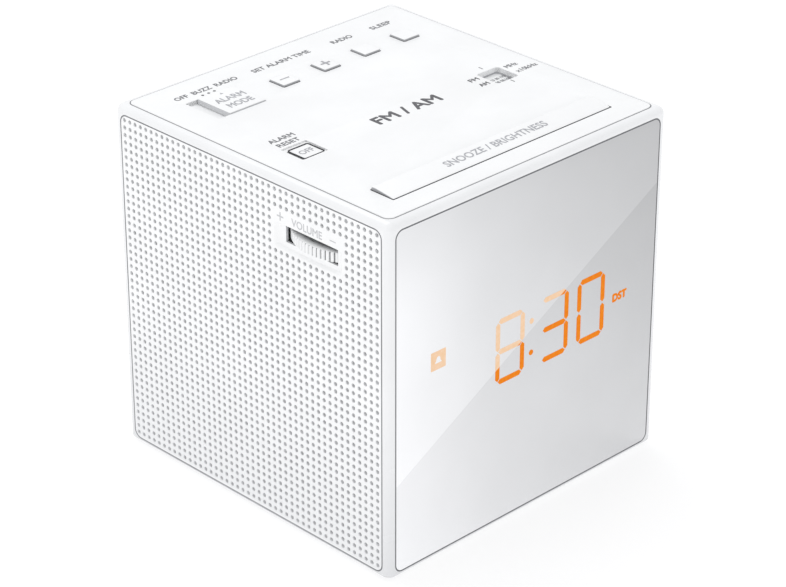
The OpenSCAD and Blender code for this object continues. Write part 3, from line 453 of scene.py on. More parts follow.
def mirror_with_painted_reflection():
    """Half-silvered acrylic whose colour holds a painted reflection: pale at one lower corner and grey towards the
    other, a paler band above a sloping edge, and spots of painted highlight and shade.
    """
    material = bpy.data.materials.new("mirror_window")
    material.use_nodes = True
    n = Nodes(material.node_tree)
    coords = n.add("ShaderNodeTexCoord").outputs["Object"]
    parts = n.add("ShaderNodeSeparateXYZ", {0: coords})
    x, z = parts.outputs[0], parts.outputs[2]
    u = n.math("MULTIPLY", x, 1 / (GLASS_HALF * MM))
    v = n.math("MULTIPLY_ADD", z, 1 / (GLASS_HALF * MM), -GLASS_MID_Z / GLASS_HALF)
    # painted reflection: the tone falls from the lower left towards the upper right
    level = n.math("MULTIPLY_ADD", u, -18.0 / 255, 211.4 / 255)
    level = n.math("MULTIPLY_ADD", v, -18.0 / 255, level)
    # painted reflection: a paler band above the sloping edge
    level = n.math("MULTIPLY_ADD", painted_reflection_mask(n, x, z), 10.0 / 255, level)

    # a soft round spot of painted highlight; a negative strength paints shade
    def glow(u0, v0, wide, tall, strength, base):
        du = n.math("MULTIPLY", n.math("SUBTRACT", u, u0), 1 / wide)
        dv = n.math("MULTIPLY", n.math("SUBTRACT", v, v0), 1 / tall)
        square = n.math("ADD", n.math("MULTIPLY", du, du), n.math("MULTIPLY", dv, dv))
        return n.math("MULTIPLY_ADD", n.math("EXPONENT", n.math("MULTIPLY", square, -1.0)), strength / 255, base)

    # painted highlights along the left edge, from near the top down to the lower left corner, and painted shade at
    # the upper left corner
    level = glow(-1.05, 0.8, 0.5, 0.75, 20.0, level)
    level = glow(-1.0, -0.35, 0.45, 0.45, 4.0, level)
    level = glow(-0.9, -1.0, 0.6, 0.5, 5.0, level)
    level = glow(-1.0, 1.0, 0.4, 0.4, -9.0, level)
    film = n.noise(coords, 1 / (22 * MM), 2.0)
    level = n.math("ADD", level, n.ramp(film, 0.3, 0.7, -0.006, 0.006))
    light = n.math("POWER", level, 2.25)
    tone = n.add("ShaderNodeCombineColor", {0: n.math("MULTIPLY", light, 0.985), 1: n.math("MULTIPLY", light, 0.99),
                                            2: n.math("MULTIPLY", light, 1.006)}).outputs[0]
    smudge = n.noise(coords, 1 / (6 * MM), 4.0, 0.6)
    rough = n.ramp(smudge, 0.35, 0.7, 0.035, 0.075)
    wave = n.noise(coords, 1 / (30 * MM), 1.0)
    normal = n.add("ShaderNodeBump", {"Strength": 0.04, "Distance": 0.05 * MM, "Height": wave}).outputs[0]
    shader = n.add("ShaderNodeBsdfPrincipled", {"Base Color": tone, "Roughness": rough, "Normal": normal})
    shader.inputs["Metallic"].default_value = 1.0
    shader.inputs["Specular IOR Level"].default_value = 0.5
    n.add("ShaderNodeOutputMaterial", {"Surface": shader.outputs[0]})
    return material


mat["mirror_window"] = mirror_with_painted_reflection()


def lit_material():
    """Glowing display bars, paler where the painted reflection lies over them."""
    material = bpy.data.materials.new("segment_lit")
    material.use_nodes = True
    n = Nodes(material.node_tree)
    coords = n.add("ShaderNodeTexCoord").outputs["Object"]
    parts = n.add("ShaderNodeSeparateXYZ", {0: coords})
    grain = n.noise(coords, 1 / (0.8 * MM), 2.0)
    deep = n.mix(n.ramp(grain, 0.3, 0.7, 0.0, 1.0), srgb(236, 122, 6), srgb(242, 138, 22))
    # pale colours: the bars washed out under the painted reflection above its sloping edge
    pale = n.mix(n.ramp(grain, 0.3, 0.7, 0.0, 1.0), srgb(242, 203, 164), srgb(246, 212, 182))
    glow = n.mix(painted_reflection_mask(n, parts.outputs[0], parts.outputs[2]), deep, pale)
    shader = n.add("ShaderNodeBsdfPrincipled", {"Emission Color": glow})
    shader.inputs["Base Color"].default_value = (0.02, 0.01, 0.0, 1)
    shader.inputs["Roughness"].default_value = 0.35
    shader.inputs["Specular IOR Level"].default_value = 0.06
    shader.inputs["Emission Strength"].default_value = 0.97
    n.add("ShaderNodeOutputMaterial", {"Surface": shader.outputs[0]})
    return material


mat["segment_lit"] = lit_material()
mat["segment_dark"] = plastic("segment_dark", (0.6, 0.57, 0.52), rough=0.3, tint=0.05)


def lens_material():
    """Acrylic with a milky haze and faint scratches."""
    material = bpy.data.materials.new("lens_clear")
    material.use_nodes = True
    n = Nodes(material.node_tree)
    coords = n.add("ShaderNodeTexCoord").outputs["Object"]
    streaks = n.noise(n.add("ShaderNodeMapping", {"Vector": coords, "Scale": (1, 9, 1)}).outputs[0], 1 / (2 * MM),
                      4.0)
    rough = n.ramp(streaks, 0.4, 0.75, 0.02, 0.1)
    tone = n.mix(n.ramp(streaks, 0.3, 0.7, 0.0, 1.0), (0.97, 0.985, 0.99), (1.0, 1.0, 1.0))
    normal = n.add("ShaderNodeBump", {"Strength": 0.03, "Distance": 0.02 * MM, "Height": streaks}).outputs[0]
    shader = n.add("ShaderNodeBsdfPrincipled", {"Base Color": tone, "Roughness": rough, "Normal": normal})
    shader.inputs["Transmission Weight"].default_value = 0.12
    shader.inputs["IOR"].default_value = 1.15
    n.add("ShaderNodeOutputMaterial", {"Surface": shader.outputs[0]})
    return material


mat["lens_clear"] = lens_material()

# every CAD node that stays takes the full material of its slot
for part in frame["record"]["subparts"]:
    cad = frame["nodes"][part["node"]]
    cad.data.materials.clear()
    cad.data.materials.append(mat[part["material_slot"]])


# ---------------------------------------------------------------- cabinet frame
def cabinet_shell():
    """Rounded frame of the cube: flat borders, rounded seats for the six panels and an open inside."""
    bm = bmesh.new()
    per = 9
    rings = []
    for i in range(5):
        a = math.pi / 2 * i / 4
        rings.append((FOOT_EDGE * (1 - math.sin(a)), LOW + FOOT_EDGE * (1 - math.cos(a))))
    for i in range(11):
        a = math.pi / 2 * i / 10
        rings.append((EDGE * (1 - math.cos(a)) * 0.9999, TOP - CAP_STEP - EDGE * (1 - math.sin(a))))
    loops = [[bm.verts.new((x, y, z)) for x, y in rect_ring(2 * (HX - t), 2 * (HY - t), EDGE - t, n=per - 1)]
             for t, z in rings]
    corner = {}
    for level, (a, b) in enumerate(zip(loops, loops[1:])):
        for i in range(len(a)):
            j = (i + 1) % len(a)
            if level == 4 and i % per == per - 1:
                k = i // per
                # upright sides, in the order of rect_ring: rear, left, front, right
                side = ("rear", "left", "front", "right")[k]
                corner[side] = (a[i], a[j], b[j], b[i])
                continue
            bm.faces.new((a[i], a[j], b[j], b[i]))
    corner["top"] = [loops[-1][k * per + per // 2] for k in range(4)]
    corner["bottom"] = [loops[0][k * per + per // 2] for k in range(4)]
    for k in range(4):
        lip = loops[0][k * per:(k + 1) * per]
        nxt = loops[0][((k + 1) % 4) * per]
        middle = lip[per // 2]
        for a, b in list(zip(lip, lip[1:])):
            if middle not in (a, b):
                bm.faces.new((middle, b, a))
        after = loops[0][((k + 1) % 4) * per + per // 2]
        bm.faces.new((middle, after, nxt, lip[-1]))
    seats = {
        (0, 0, 1): (2 * (HX - CAP_BORDER), 2 * (HY - CAP_BORDER), 0.0),
        (0, 0, -1): (2 * (HX - BASE_BORDER), 2 * (HY - BASE_BORDER), 0.0),
        (0, -1, 0): (FRONT_W, PANEL_H, PANEL_MID),
        (0, 1, 0): (FRONT_W, PANEL_H, PANEL_MID),
        (-1, 0, 0): (SIDE_W, PANEL_H, PANEL_MID),
        (1, 0, 0): (SIDE_W, PANEL_H, PANEL_MID),
    }
    names = {(0, 0, 1): "top", (0, 0, -1): "bottom", (0, -1, 0): "front", (0, 1, 0): "rear", (-1, 0, 0): "left",
             (1, 0, 0): "right"}
    cavity = ((-HX + WALL, HX - WALL), (-HY + WALL, HY - WALL), (LOW + 2.4, TOP - WALL))
    for normal, side in names.items():
        m = face_matrix(side)
        w, d, mid = seats[normal]
        inverse = m.inverted()
        # quadrants in the order of rect_ring: ++ first, then counter-clockwise
        order = []
        for sx, sy in ((1, 1), (-1, 1), (-1, -1), (1, -1)):
            order.append(max(corner[side], key=lambda v: sx * (inverse @ v.co).x + sy * ((inverse @ v.co).y - mid)))

        def ring(grow, depth):
            if side == "top" and depth < SKIN:
                depth += CAP_STEP
            return [bm.verts.new(m @ Vector((x, y, -depth)))
                    for x, y in rect_ring(w + 2 * grow, d + 2 * grow, PANEL_R + grow, 0, mid, per - 1)]

        rim = ring(0.13, 0.0)
        for k in range(4):
            arc = rim[k * per:(k + 1) * per]
            for a, b in zip(arc, arc[1:]):
                bm.faces.new((order[k], a, b))
            bm.faces.new((order[k], arc[-1], rim[((k + 1) % 4) * per], order[(k + 1) % 4]))
        loops = [rim, ring(0.04, 0.04), ring(0.0, 0.14), ring(0.0, SKIN + 0.03)]
        for a, b in zip(loops, loops[1:]):
            for i in range(len(a)):
                j = (i + 1) % len(a)
                bm.faces.new((a[i], a[j], b[j], b[i]))
        ledge = loops[-1]
        axis = max(range(3), key=lambda i: abs(normal[i]))
        inner = {}
        for depth_name, depth in (("ledge", SKIN + 0.03), ("deep", None)):
            square = []
            for sx, sy in ((1, 1), (-1, 1), (-1, -1), (1, -1)):
                local_dir = m.to_3x3() @ Vector((sx, sy, 0))
                point = Vector((0, 0, 0))
                for i in range(3):
                    if i == axis:
                        if depth is None:
                            point[i] = cavity[i][1] if normal[i] > 0 else cavity[i][0]
                        else:
                            point[i] = (m @ Vector((0, 0, -depth)))[i]
                    else:
                        point[i] = cavity[i][1] if local_dir[i] > 0 else cavity[i][0]
                square.append(bm.verts.new(point))
            inner[depth_name] = square
        shelf = inner["ledge"]
        for k in range(4):
            arc = ledge[k * per:(k + 1) * per]
            for a, b in zip(arc, arc[1:]):
                bm.faces.new((shelf[k], a, b))
            bm.faces.new((shelf[k], arc[-1], ledge[((k + 1) % 4) * per], shelf[(k + 1) % 4]))
            bm.faces.new((shelf[k], shelf[(k + 1) % 4], inner["deep"][(k + 1) % 4], inner["deep"][k]))
    bmesh.ops.remove_doubles(bm, verts=bm.verts, dist=1e-4)
    block = 7.2
    for sx in (-1, 1):
        for sy in (-1, 1):
            cx, cy = sx * (HX - WALL + 0.2 - block / 2), sy * (HY - WALL + 0.2 - block / 2)
            outer, bore = rect_ring(block, block, 0.8, cx, cy, 5), circle_ring(1.1, cx, cy, 24)
            bore = bore[3:] + bore[:3]
            outer_at = [at(outer, 4.4), at(outer, 17.0)]
            add_loft(bm, [at(bore, 4.4), outer_at[0], outer_at[1], at(bore, 17.0)], closed=True)
    return finish_mesh("cabinet_shell", bm, mat["cabinet_white"], "cabinet", smooth=28, replaces=["cabinet_frame"])


cabinet_shell()


# ---------------------------------------------------------------- perforated side panels
PITCH_U, PITCH_V = 2.155, 2.145
HOLES = 45
HOLE_R = 0.6
FIRST_V = 98.1


def perforated_panel(name, face, blank, patch, replaces):
    """Panel with a full grid of real holes. blank is the (column, row) range without holes, where patch builds the
    scoop. Column 0 is at the viewer's left and row 0 at the top."""
    m = face_matrix(face)
    bm = bmesh.new()
    cache = {}

    def vertex(u, v, w):
        key = (round(u, 4), round(v, 4), round(w, 4))
        if key not in cache:
            cache[key] = bm.verts.new(key)
        return cache[key]

    half_u, half_v = SIDE_W / 2 - SEAM, PANEL_H / 2 - SEAM
    left = -HOLES * PITCH_U / 2
    top = FIRST_V + PITCH_V / 2
    r_out = PANEL_R - SEAM

    def clamp(u, v):
        """Keeps a grid point inside the panel's rounded corner."""
        cu, cv = half_u - r_out, half_v - r_out
        du, dv = abs(u) - cu, abs(v - PANEL_MID) - cv
        reach = math.hypot(du, dv)
        if du > 0 and dv > 0 and reach > r_out - 0.35:
            f = (r_out - 0.35) / reach
            return math.copysign(cu + du * f, u), PANEL_MID + math.copysign(cv + dv * f, v - PANEL_MID)
        return u, v

    def grid(i, j):
        """Point on the grid of thirds of a cell."""
        return clamp(left + i * PITCH_U / 3, top - j * PITCH_V / 3)

    (c0, c1), (r0, r1) = blank
    skip = {(c, r) for c in range(c0, c1 + 1) for r in range(r0, r1 + 1)}
    rim = 0.10
    around = []
    for k in range(12):
        a = math.radians(45 + 30 * k)
        around.append((math.cos(a), math.sin(a)))
    # thirds of a cell's border, from its upper right corner and counter-clockwise
    border = [(3, 0), (2, 0), (1, 0), (0, 0), (0, 1), (0, 2), (0, 3), (1, 3), (2, 3), (3, 3), (3, 2), (3, 1)]
    for c in range(HOLES):
        for r in range(HOLES):
            if (c, r) in skip:
                continue
            cu, cv = left + (c + 0.5) * PITCH_U, top - (r + 0.5) * PITCH_V
            outer = [grid(3 * c + i, 3 * r + j) for i, j in border]
            rings = [[vertex(u, v, 0) for u, v in outer]]
            for hole_r, w in ((HOLE_R + rim, 0), (HOLE_R + 0.03, -0.03), (HOLE_R, -rim), (HOLE_R, -SKIN)):
                rings.append([vertex(cu + hole_r * x, cv + hole_r * y, w) for x, y in around])
            rings.append([vertex(u, v, -SKIN) for u, v in outer])
            # the hole walls and the back take the second material, a darker grey of painted shade
            for level, (a, b) in enumerate(zip(rings, rings[1:])):
                for i in range(12):
                    j = (i + 1) % 12
                    bm.faces.new((a[i], a[j], b[j], b[i])).material_index = int(level >= 3)
    patch(bm, vertex, grid, c0 * 3, (c1 + 1) * 3, r0 * 3, (r1 + 1) * 3)
    # border strip between the grid and the rounded outline, with a rounded rim
    n_edge = 3 * HOLES
    loop = [grid(n_edge - i, 0) for i in range(n_edge)] + [grid(0, j) for j in range(n_edge)]
    loop += [grid(i, n_edge) for i in range(n_edge)] + [grid(n_edge, n_edge - j) for j in range(n_edge)]

    def outline(u, v, inset):
        """Point of the rounded outline that a grid border point faces."""
        hu, hv, rr = half_u - inset, half_v - inset, r_out - inset
        dv = v - PANEL_MID
        su, sv = hu - rr, hv - rr
        if abs(u) > su and abs(dv) > sv:
            x, y = abs(u) - su, abs(dv) - sv
            reach = math.hypot(x, y)
            return math.copysign(su + x * rr / reach, u), PANEL_MID + math.copysign(sv + y * rr / reach, dv)
        gap_u, gap_v = hu - abs(u), hv - abs(dv)
        if gap_u < gap_v:
            return math.copysign(hu, u), v
        return u, PANEL_MID + math.copysign(hv, dv)

    rings = [[vertex(u, v, 0) for u, v in loop]]
    for inset, w in ((0.12, 0.0), (0.035, -0.035), (0.0, -0.12), (0.0, -SKIN)):
        rings.append([bm.verts.new((*outline(u, v, inset), w)) for u, v in loop])
    rings.append([vertex(u, v, -SKIN) for u, v in loop])
    for a, b in zip(rings, rings[1:]):
        for i in range(len(a)):
            j = (i + 1) % len(a)
            bm.faces.new((a[i], a[j], b[j], b[i]))
    # the second and third materials are painted shade on the hole walls and the slot walls
    materials = [mat["grille_white"], mat["bore_painted_shade"], mat["slot_wall_painted_shade"]]
    finish_mesh(name, bm, materials, "cabinet", smooth=40, replaces=replaces, place=m)


def scoop_patch(slot_u, slot_v, scoop_u, scoop_v, depth, soft, arch=0.0):
    """Returns a function that fills the blank part of a panel with a soft-edged hollow and a slot through it."""

    def smooth_step(t):
        t = min(max(t, 0.0), 1.0)
        return t * t * (3 - 2 * t)

    def sink(u, v):
        bow = arch * (1 - ((u - sum(scoop_u) / 2) / ((scoop_u[1] - scoop_u[0]) / 2)) ** 2)
        fu = min(smooth_step((u - scoop_u[0]) / soft), smooth_step((scoop_u[1] - u) / soft))
        fv = min(smooth_step((v - scoop_v[0] + bow) / (soft * 0.6)), smooth_step((scoop_v[1] - v) / (soft * 0.6)))
        return -depth * fu * fv

    def build(bm, vertex, grid, i0, i1, j0, j1):
        fine = 3
        nu, nv = (i1 - i0) * fine, (j1 - j0) * fine
        (u0, v1), (u1, v0) = grid(i0, j0), grid(i1, j1)

        def spot(a, b):
            if a % fine == 0 and b % fine == 0 and (a in (0, nu) or b in (0, nv)):
                return grid(i0 + a // fine, j0 + b // fine)
            return u0 + (u1 - u0) * a / nu, v1 + (v0 - v1) * b / nv

        sa = [round((s - u0) / (u1 - u0) * nu) for s in slot_u]
        sb = [round((v1 - s) / (v1 - v0) * nv) for s in reversed(slot_v)]

        def front(a, b):
            u, v = spot(a, b)
            edge = a in (0, nu) or b in (0, nv)
            return vertex(u, v, 0.0 if edge else sink(u, v))

        def back(a, b):
            u, v = spot(a, b)
            return vertex(u, v, -SKIN)

        def in_slot(a, b):
            return sa[0] <= a < sa[1] and sb[0] <= b < sb[1]

        for make in (front, back):
            for a in range(1, nu - 1):
                for b in range(1, nv - 1):
                    if not in_slot(a, b):
                        bm.faces.new((make(a, b), make(a + 1, b), make(a + 1, b + 1), make(a, b + 1)))
            for k in range(0, nu, fine):
                for b_out, b_in in ((0, 1), (nv, nv - 1)):
                    inner = [make(a, b_in) for a in range(max(1, k), min(nu - 1, k + fine) + 1)]
                    bm.faces.new([make(k, b_out), make(k + fine, b_out)] + inner[::-1])
            for k in range(0, nv, fine):
                for a_out, a_in in ((0, 1), (nu, nu - 1)):
                    inner = [make(a_in, b) for b in range(max(1, k), min(nv - 1, k + fine) + 1)]
                    bm.faces.new([make(a_out, k), make(a_out, k + fine)] + inner[::-1])
        # the slot walls take the third material, a darker grey of painted shade
        walls = [((a, b), (a + 1, b)) for b in sb for a in range(*sa)]
        walls += [((a, b), (a, b + 1)) for a in sa for b in range(*sb)]
        for p, q in walls:
            bm.faces.new((front(*p), front(*q), back(*q), back(*p))).material_index = 2

    return build


# the volume wheel's scoop, seen from the left: u is -Y
perforated_panel(
    "speaker_grille_panel", "left", ((27, 38), (3, 7)),
    scoop_patch((13.95, 33.0), (84.2, 88.84), (10.2, 35.1), (82.3, 89.3), 0.8, 1.3, 0.3),
    ["speaker_grille"])
# the tuning wheel's scoop, seen from the right: u is +Y
perforated_panel(
    "tuning_side_panel", "right", ((8, 19), (0, 4)),
    scoop_patch((-29.3, -9.7), (93.6, 97.9), (-31.9, -7.1), (91.2, 98.2), 0.8, 1.3, 0.0),
    ["side_panel"])


# ---------------------------------------------------------------- top panel
KEY_X = [-9.7, 5.23, 20.16, 35.09]
KEY_Y = 30.2
KEY = 5.8
KEY_GAP = 0.18
KEY_RISE = 0.7
KEY_FOOT, COLLAR_LOW, COLLAR_TOP, COLLAR = -4.2, -4.3, -3.5, 1.4
MODE_X, MODE_Y = (-38.4, -21.7), (24.1, 37.4)
MODE_DEPTH = 1.3
KNOB_W, KNOB_D, KNOB_RISE = 12.6, 12.9, 0.38
DIAL_X, DIAL_Y = (29.7, 37.8), (-10.7, -2.5)
DIAL_DEPTH = 1.9
LENS_RIM = 1.1
# centre and size of the alarm off key, its upper face, and the sunk ring round it
OFF = (-35.6, -6.0, 6.65, 6.2)
OFF_TOP = -0.12
OFF_GAP = 0.3
OFF_RING = (-39.95, -31.25, -9.55, -1.2)
SNOOZE_X, SNOOZE_Y = (-39.75, 39.75), (-41.7, -33.9)
SNOOZE_GAP = 0.36


def span_ring(xs, ys, r, grow=0.0, n=4):
    return rect_ring(xs[1] - xs[0] + 2 * grow, ys[1] - ys[0] + 2 * grow, r + grow, sum(xs) / 2, sum(ys) / 2, n)


def pocket(bm, xs, ys, r, depth, wall=0.8, floor_hole=None):
    """Liner of a sunk area: upright walls and a floor with its own thickness, open at the top."""
    rings = [at(span_ring(xs, ys, r, 0.0), -0.12), at(span_ring(xs, ys, r, 0.0), -depth),
             at(span_ring(xs, ys, r, -0.15), -depth - 0.02)]
    if floor_hole is None:
        add_loft(bm, [at(span_ring(xs, ys, r, wall), -depth - wall), at(span_ring(xs, ys, r, wall), -0.12)] + rings)
    else:
        hx, hy = floor_hole
        rings += [at(span_ring(hx, hy, 0.2), -depth - 0.02), at(span_ring(hx, hy, 0.2), -depth - wall)]
        rings = [at(span_ring(xs, ys, r, wall), -depth - wall), at(span_ring(xs, ys, r, wall), -0.12)] + rings
        add_loft(bm, rings, closed=True)


def top_plate():
    holes = [span_ring((x - KEY / 2, x + KEY / 2), (KEY_Y - KEY / 2, KEY_Y + KEY / 2), 0.25, KEY_GAP) for x in KEY_X]
    holes.append(span_ring(MODE_X, MODE_Y, 0.25))
    holes.append(span_ring(OFF_RING[:2], OFF_RING[2:], 0.4))
    slot_x = (SNOOZE_X[0] - SNOOZE_GAP, SNOOZE_X[1] + 0.1)
    slot_y = (SNOOZE_Y[0] - SNOOZE_GAP, SNOOZE_Y[1] + 0.1)
    holes.append(span_ring(slot_x, slot_y, 0.3))
    holes.append(span_ring(DIAL_X, DIAL_Y, 0.9))
    outer = rect_ring(2 * (HX - CAP_BORDER - SEAM), 2 * (HY - CAP_BORDER - SEAM), PANEL_R - SEAM, n=10)
    bm = curve_plate("top_plate", outer, holes, SKIN, PANEL_RIM)
    finish_mesh("top_plate", bm, mat["panel_white"], "cabinet", replaces=["top_panel"], place="top")

    bm = bmesh.new()
    pocket(bm, MODE_X, MODE_Y, 0.25, MODE_DEPTH)
    finish_mesh("mode_pocket", bm, mat["pocket_white"], "cabinet", slot="panel_white", place="top")
    bm = bmesh.new()
    inner, outer = span_ring(DIAL_X, DIAL_Y, 0.9), span_ring(DIAL_X, DIAL_Y, 0.9, 0.8)
    low = 0.02 - DIAL_DEPTH
    add_loft(bm, [at(outer, low), at(outer, -0.12), at(inner, -0.12), at(inner, low)], closed=True)
    finish_mesh("dial_frame", bm, mat["pocket_white"], "cabinet", slot="panel_white", place="top")
    bm = bmesh.new()
    rounded_prism(bm, DIAL_X[1] - DIAL_X[0] + 2 * LENS_RIM, DIAL_Y[1] - DIAL_Y[0] + 2 * LENS_RIM, 0.5,
                  -DIAL_DEPTH - 1.0, -DIAL_DEPTH, sum(DIAL_X) / 2, sum(DIAL_Y) / 2, edge=0.12, both=True)
    finish_mesh("dial_window", bm, mat["lens_clear"], "cabinet", replaces=["dial_lens"], place="top")
    bm = bmesh.new()
    hole_x = (OFF[0] - OFF[2] / 2 - OFF_GAP, OFF[0] + OFF[2] / 2 + OFF_GAP)
    hole_y = (OFF[1] - OFF[3] / 2 - OFF_GAP, OFF[1] + OFF[3] / 2 + OFF_GAP)
    pocket(bm, OFF_RING[:2], OFF_RING[2:], 0.4, 0.5, floor_hole=(hole_x, hole_y))
    finish_mesh("reset_ring", bm, mat["panel_white"], "cabinet", place="top")


top_plate()


# ---------------------------------------------------------------- keys
def square_key(name, x):
    bm = bmesh.new()
    rounded_prism(bm, KEY, KEY, 0.35, KEY_FOOT, KEY_RISE, x, KEY_Y, edge=0.3, dome=0.08)
    rounded_prism(bm, KEY + COLLAR, KEY + COLLAR, 0.5, COLLAR_LOW, COLLAR_TOP, x, KEY_Y, edge=0.15)
    finish_mesh(name + "_key_cap", bm, mat["key_white"], name + "_button", replaces=[name + "_key"], place="top")


for key_name, key_x in zip(("minus", "plus", "radio", "sleep"), KEY_X):
    square_key(key_name, key_x)


def off_key():
    bm = bmesh.new()
    rounded_prism(bm, OFF[2], OFF[3], 0.4, KEY_FOOT, OFF_TOP, OFF[0], OFF[1], edge=0.25, dome=0.06)
    rounded_prism(bm, OFF[2] + COLLAR, OFF[3] + COLLAR, 0.5, COLLAR_LOW, COLLAR_TOP, OFF[0], OFF[1], edge=0.15)
    finish_mesh("alarm_off_cap", bm, mat["key_white"], "alarm_off_button", replaces=["alarm_off_key"],
                place="top")


off_key()


SNOOZE_TOP = [(SNOOZE_Y[0], -0.25), (SNOOZE_Y[0] + 0.12, -0.05), (SNOOZE_Y[0] + 0.5, 0.12), (SNOOZE_Y[0] + 1.4, 0.3),
              (SNOOZE_Y[0] + 2.6, 0.48), (SNOOZE_Y[0] + 4.2, 0.68), (SNOOZE_Y[0] + 5.6, 0.82),
              (SNOOZE_Y[1] - 1.3, 0.9), (SNOOZE_Y[1] - 0.5, 0.86), (SNOOZE_Y[1] - 0.15, 0.74), (SNOOZE_Y[1], 0.5)]


def snooze_height(y):
    """Height of the snooze bar's upper face above the top panel."""
    for (y0, z0), (y1, z1) in zip(SNOOZE_TOP, SNOOZE_TOP[1:]):
        if y0 <= y <= y1:
            return z0 + (z1 - z0) * (y - y0) / (y1 - y0)
    return SNOOZE_TOP[-1][1]


def snooze():
    """Long bar that swells towards its back edge."""
    bm = bmesh.new()
    profile = [(SNOOZE_Y[0], -3.4)] + SNOOZE_TOP + [(SNOOZE_Y[1], -3.4)]
    stations = [(0.0, 0.42), (0.06, 0.2), (0.2, 0.06), (0.42, 0.0)]
    rings = []
    mid_y = sum(SNOOZE_Y) / 2
    for inset, drop in stations:
        x = SNOOZE_X[0] + inset
        rings.append([(x, y, z - (drop if z > -1 else 0)) for y, z in profile])
    for inset, drop in reversed(stations):
        x = SNOOZE_X[1] - inset
        rings.append([(x, y, z - (drop if z > -1 else 0)) for y, z in profile])
    add_loft(bm, rings)
    rounded_prism(bm, SNOOZE_X[1] - SNOOZE_X[0], 9.2, 0.4, -3.85, -3.3, sum(SNOOZE_X) / 2, mid_y - 0.3, edge=0.15)
    finish_mesh("snooze_cap", bm, mat["key_white"], "snooze_button", replaces=["snooze_bar"], place="top")


snooze()


def mode_knob():
    x = MODE_X[1] - 0.1 - KNOB_W / 2
    y = sum(MODE_Y) / 2
    bm = bmesh.new()
    rounded_prism(bm, KNOB_W, KNOB_D, 0.3, 0.1 - MODE_DEPTH, KNOB_RISE, x, y, edge=0.25, dome=0.05)
    rounded_prism(bm, 3.0, 3.0, 0.2, -4.6, 0.1 - MODE_DEPTH, x, y, edge=0.1)
    finish_mesh("mode_knob_cap", bm, mat["knob_white"], "alarm_mode", replaces=["alarm_mode_knob"], slot="key_white",
                place="top")
    return x, y


KNOB = mode_knob()


# ---------------------------------------------------------------- rear cover
VENT_X, VENT_Z, VENT_PITCH, VENT_H = 20.0, 75.0, 2.4, 1.2
RECESS_U, RECESS_V = (-17.0, 25.0), (59.0, 69.0)
REAR_V = 64.0
REAR_KEY_U = {"clock": 20.0, "zone": 9.0}
REAR_KEY_R = 2.8
BAND_U, BAND_TRAVEL = -5.25, 3.0
GLAND_U, GLAND_V, BUSH_U = -30.0, 14.0, -40.0
TRAY_U, TRAY_V = (7.0, 38.0), (4.5, 10.2)
TRAY_SCREW = (9.7, 7.2)


def cross_loop(long, wide, cx=0.0, cy=0.0):
    """Outline of a cross recess."""
    a, b = long / 2, wide / 2
    points = [(a, b), (b, b), (b, a), (-b, a), (-b, b), (-a, b), (-a, -b), (-b, -b), (-b, -a), (b, -a), (b, -b),
              (a, -b)]
    return [(cx + x, cy + y) for x, y in points]


def screw_mesh(bm, cx, cy, high, r, head, shank, shank_r=1.05):
    """Pan-head screw with a real cross recess; its head's upper face is at the given height."""
    rim = curve_plate("head", circle_ring(r, cx, cy, 40), [cross_loop(r * 1.15, r * 0.3, cx, cy)], head * 0.55,
                      0.12, 2)
    bmesh.ops.translate(rim, verts=rim.verts, vec=(0, 0, high))
    merge_mesh(bm, rim)
    z0 = high - head * 0.5
    turned(bm, [(0, z0), (r * 0.97, z0), (r * 0.93, high - head), (shank_r, high - head),
                (shank_r, high - head - shank), (0, high - head - shank)], 40, Matrix.Translation((cx, cy, 0)))


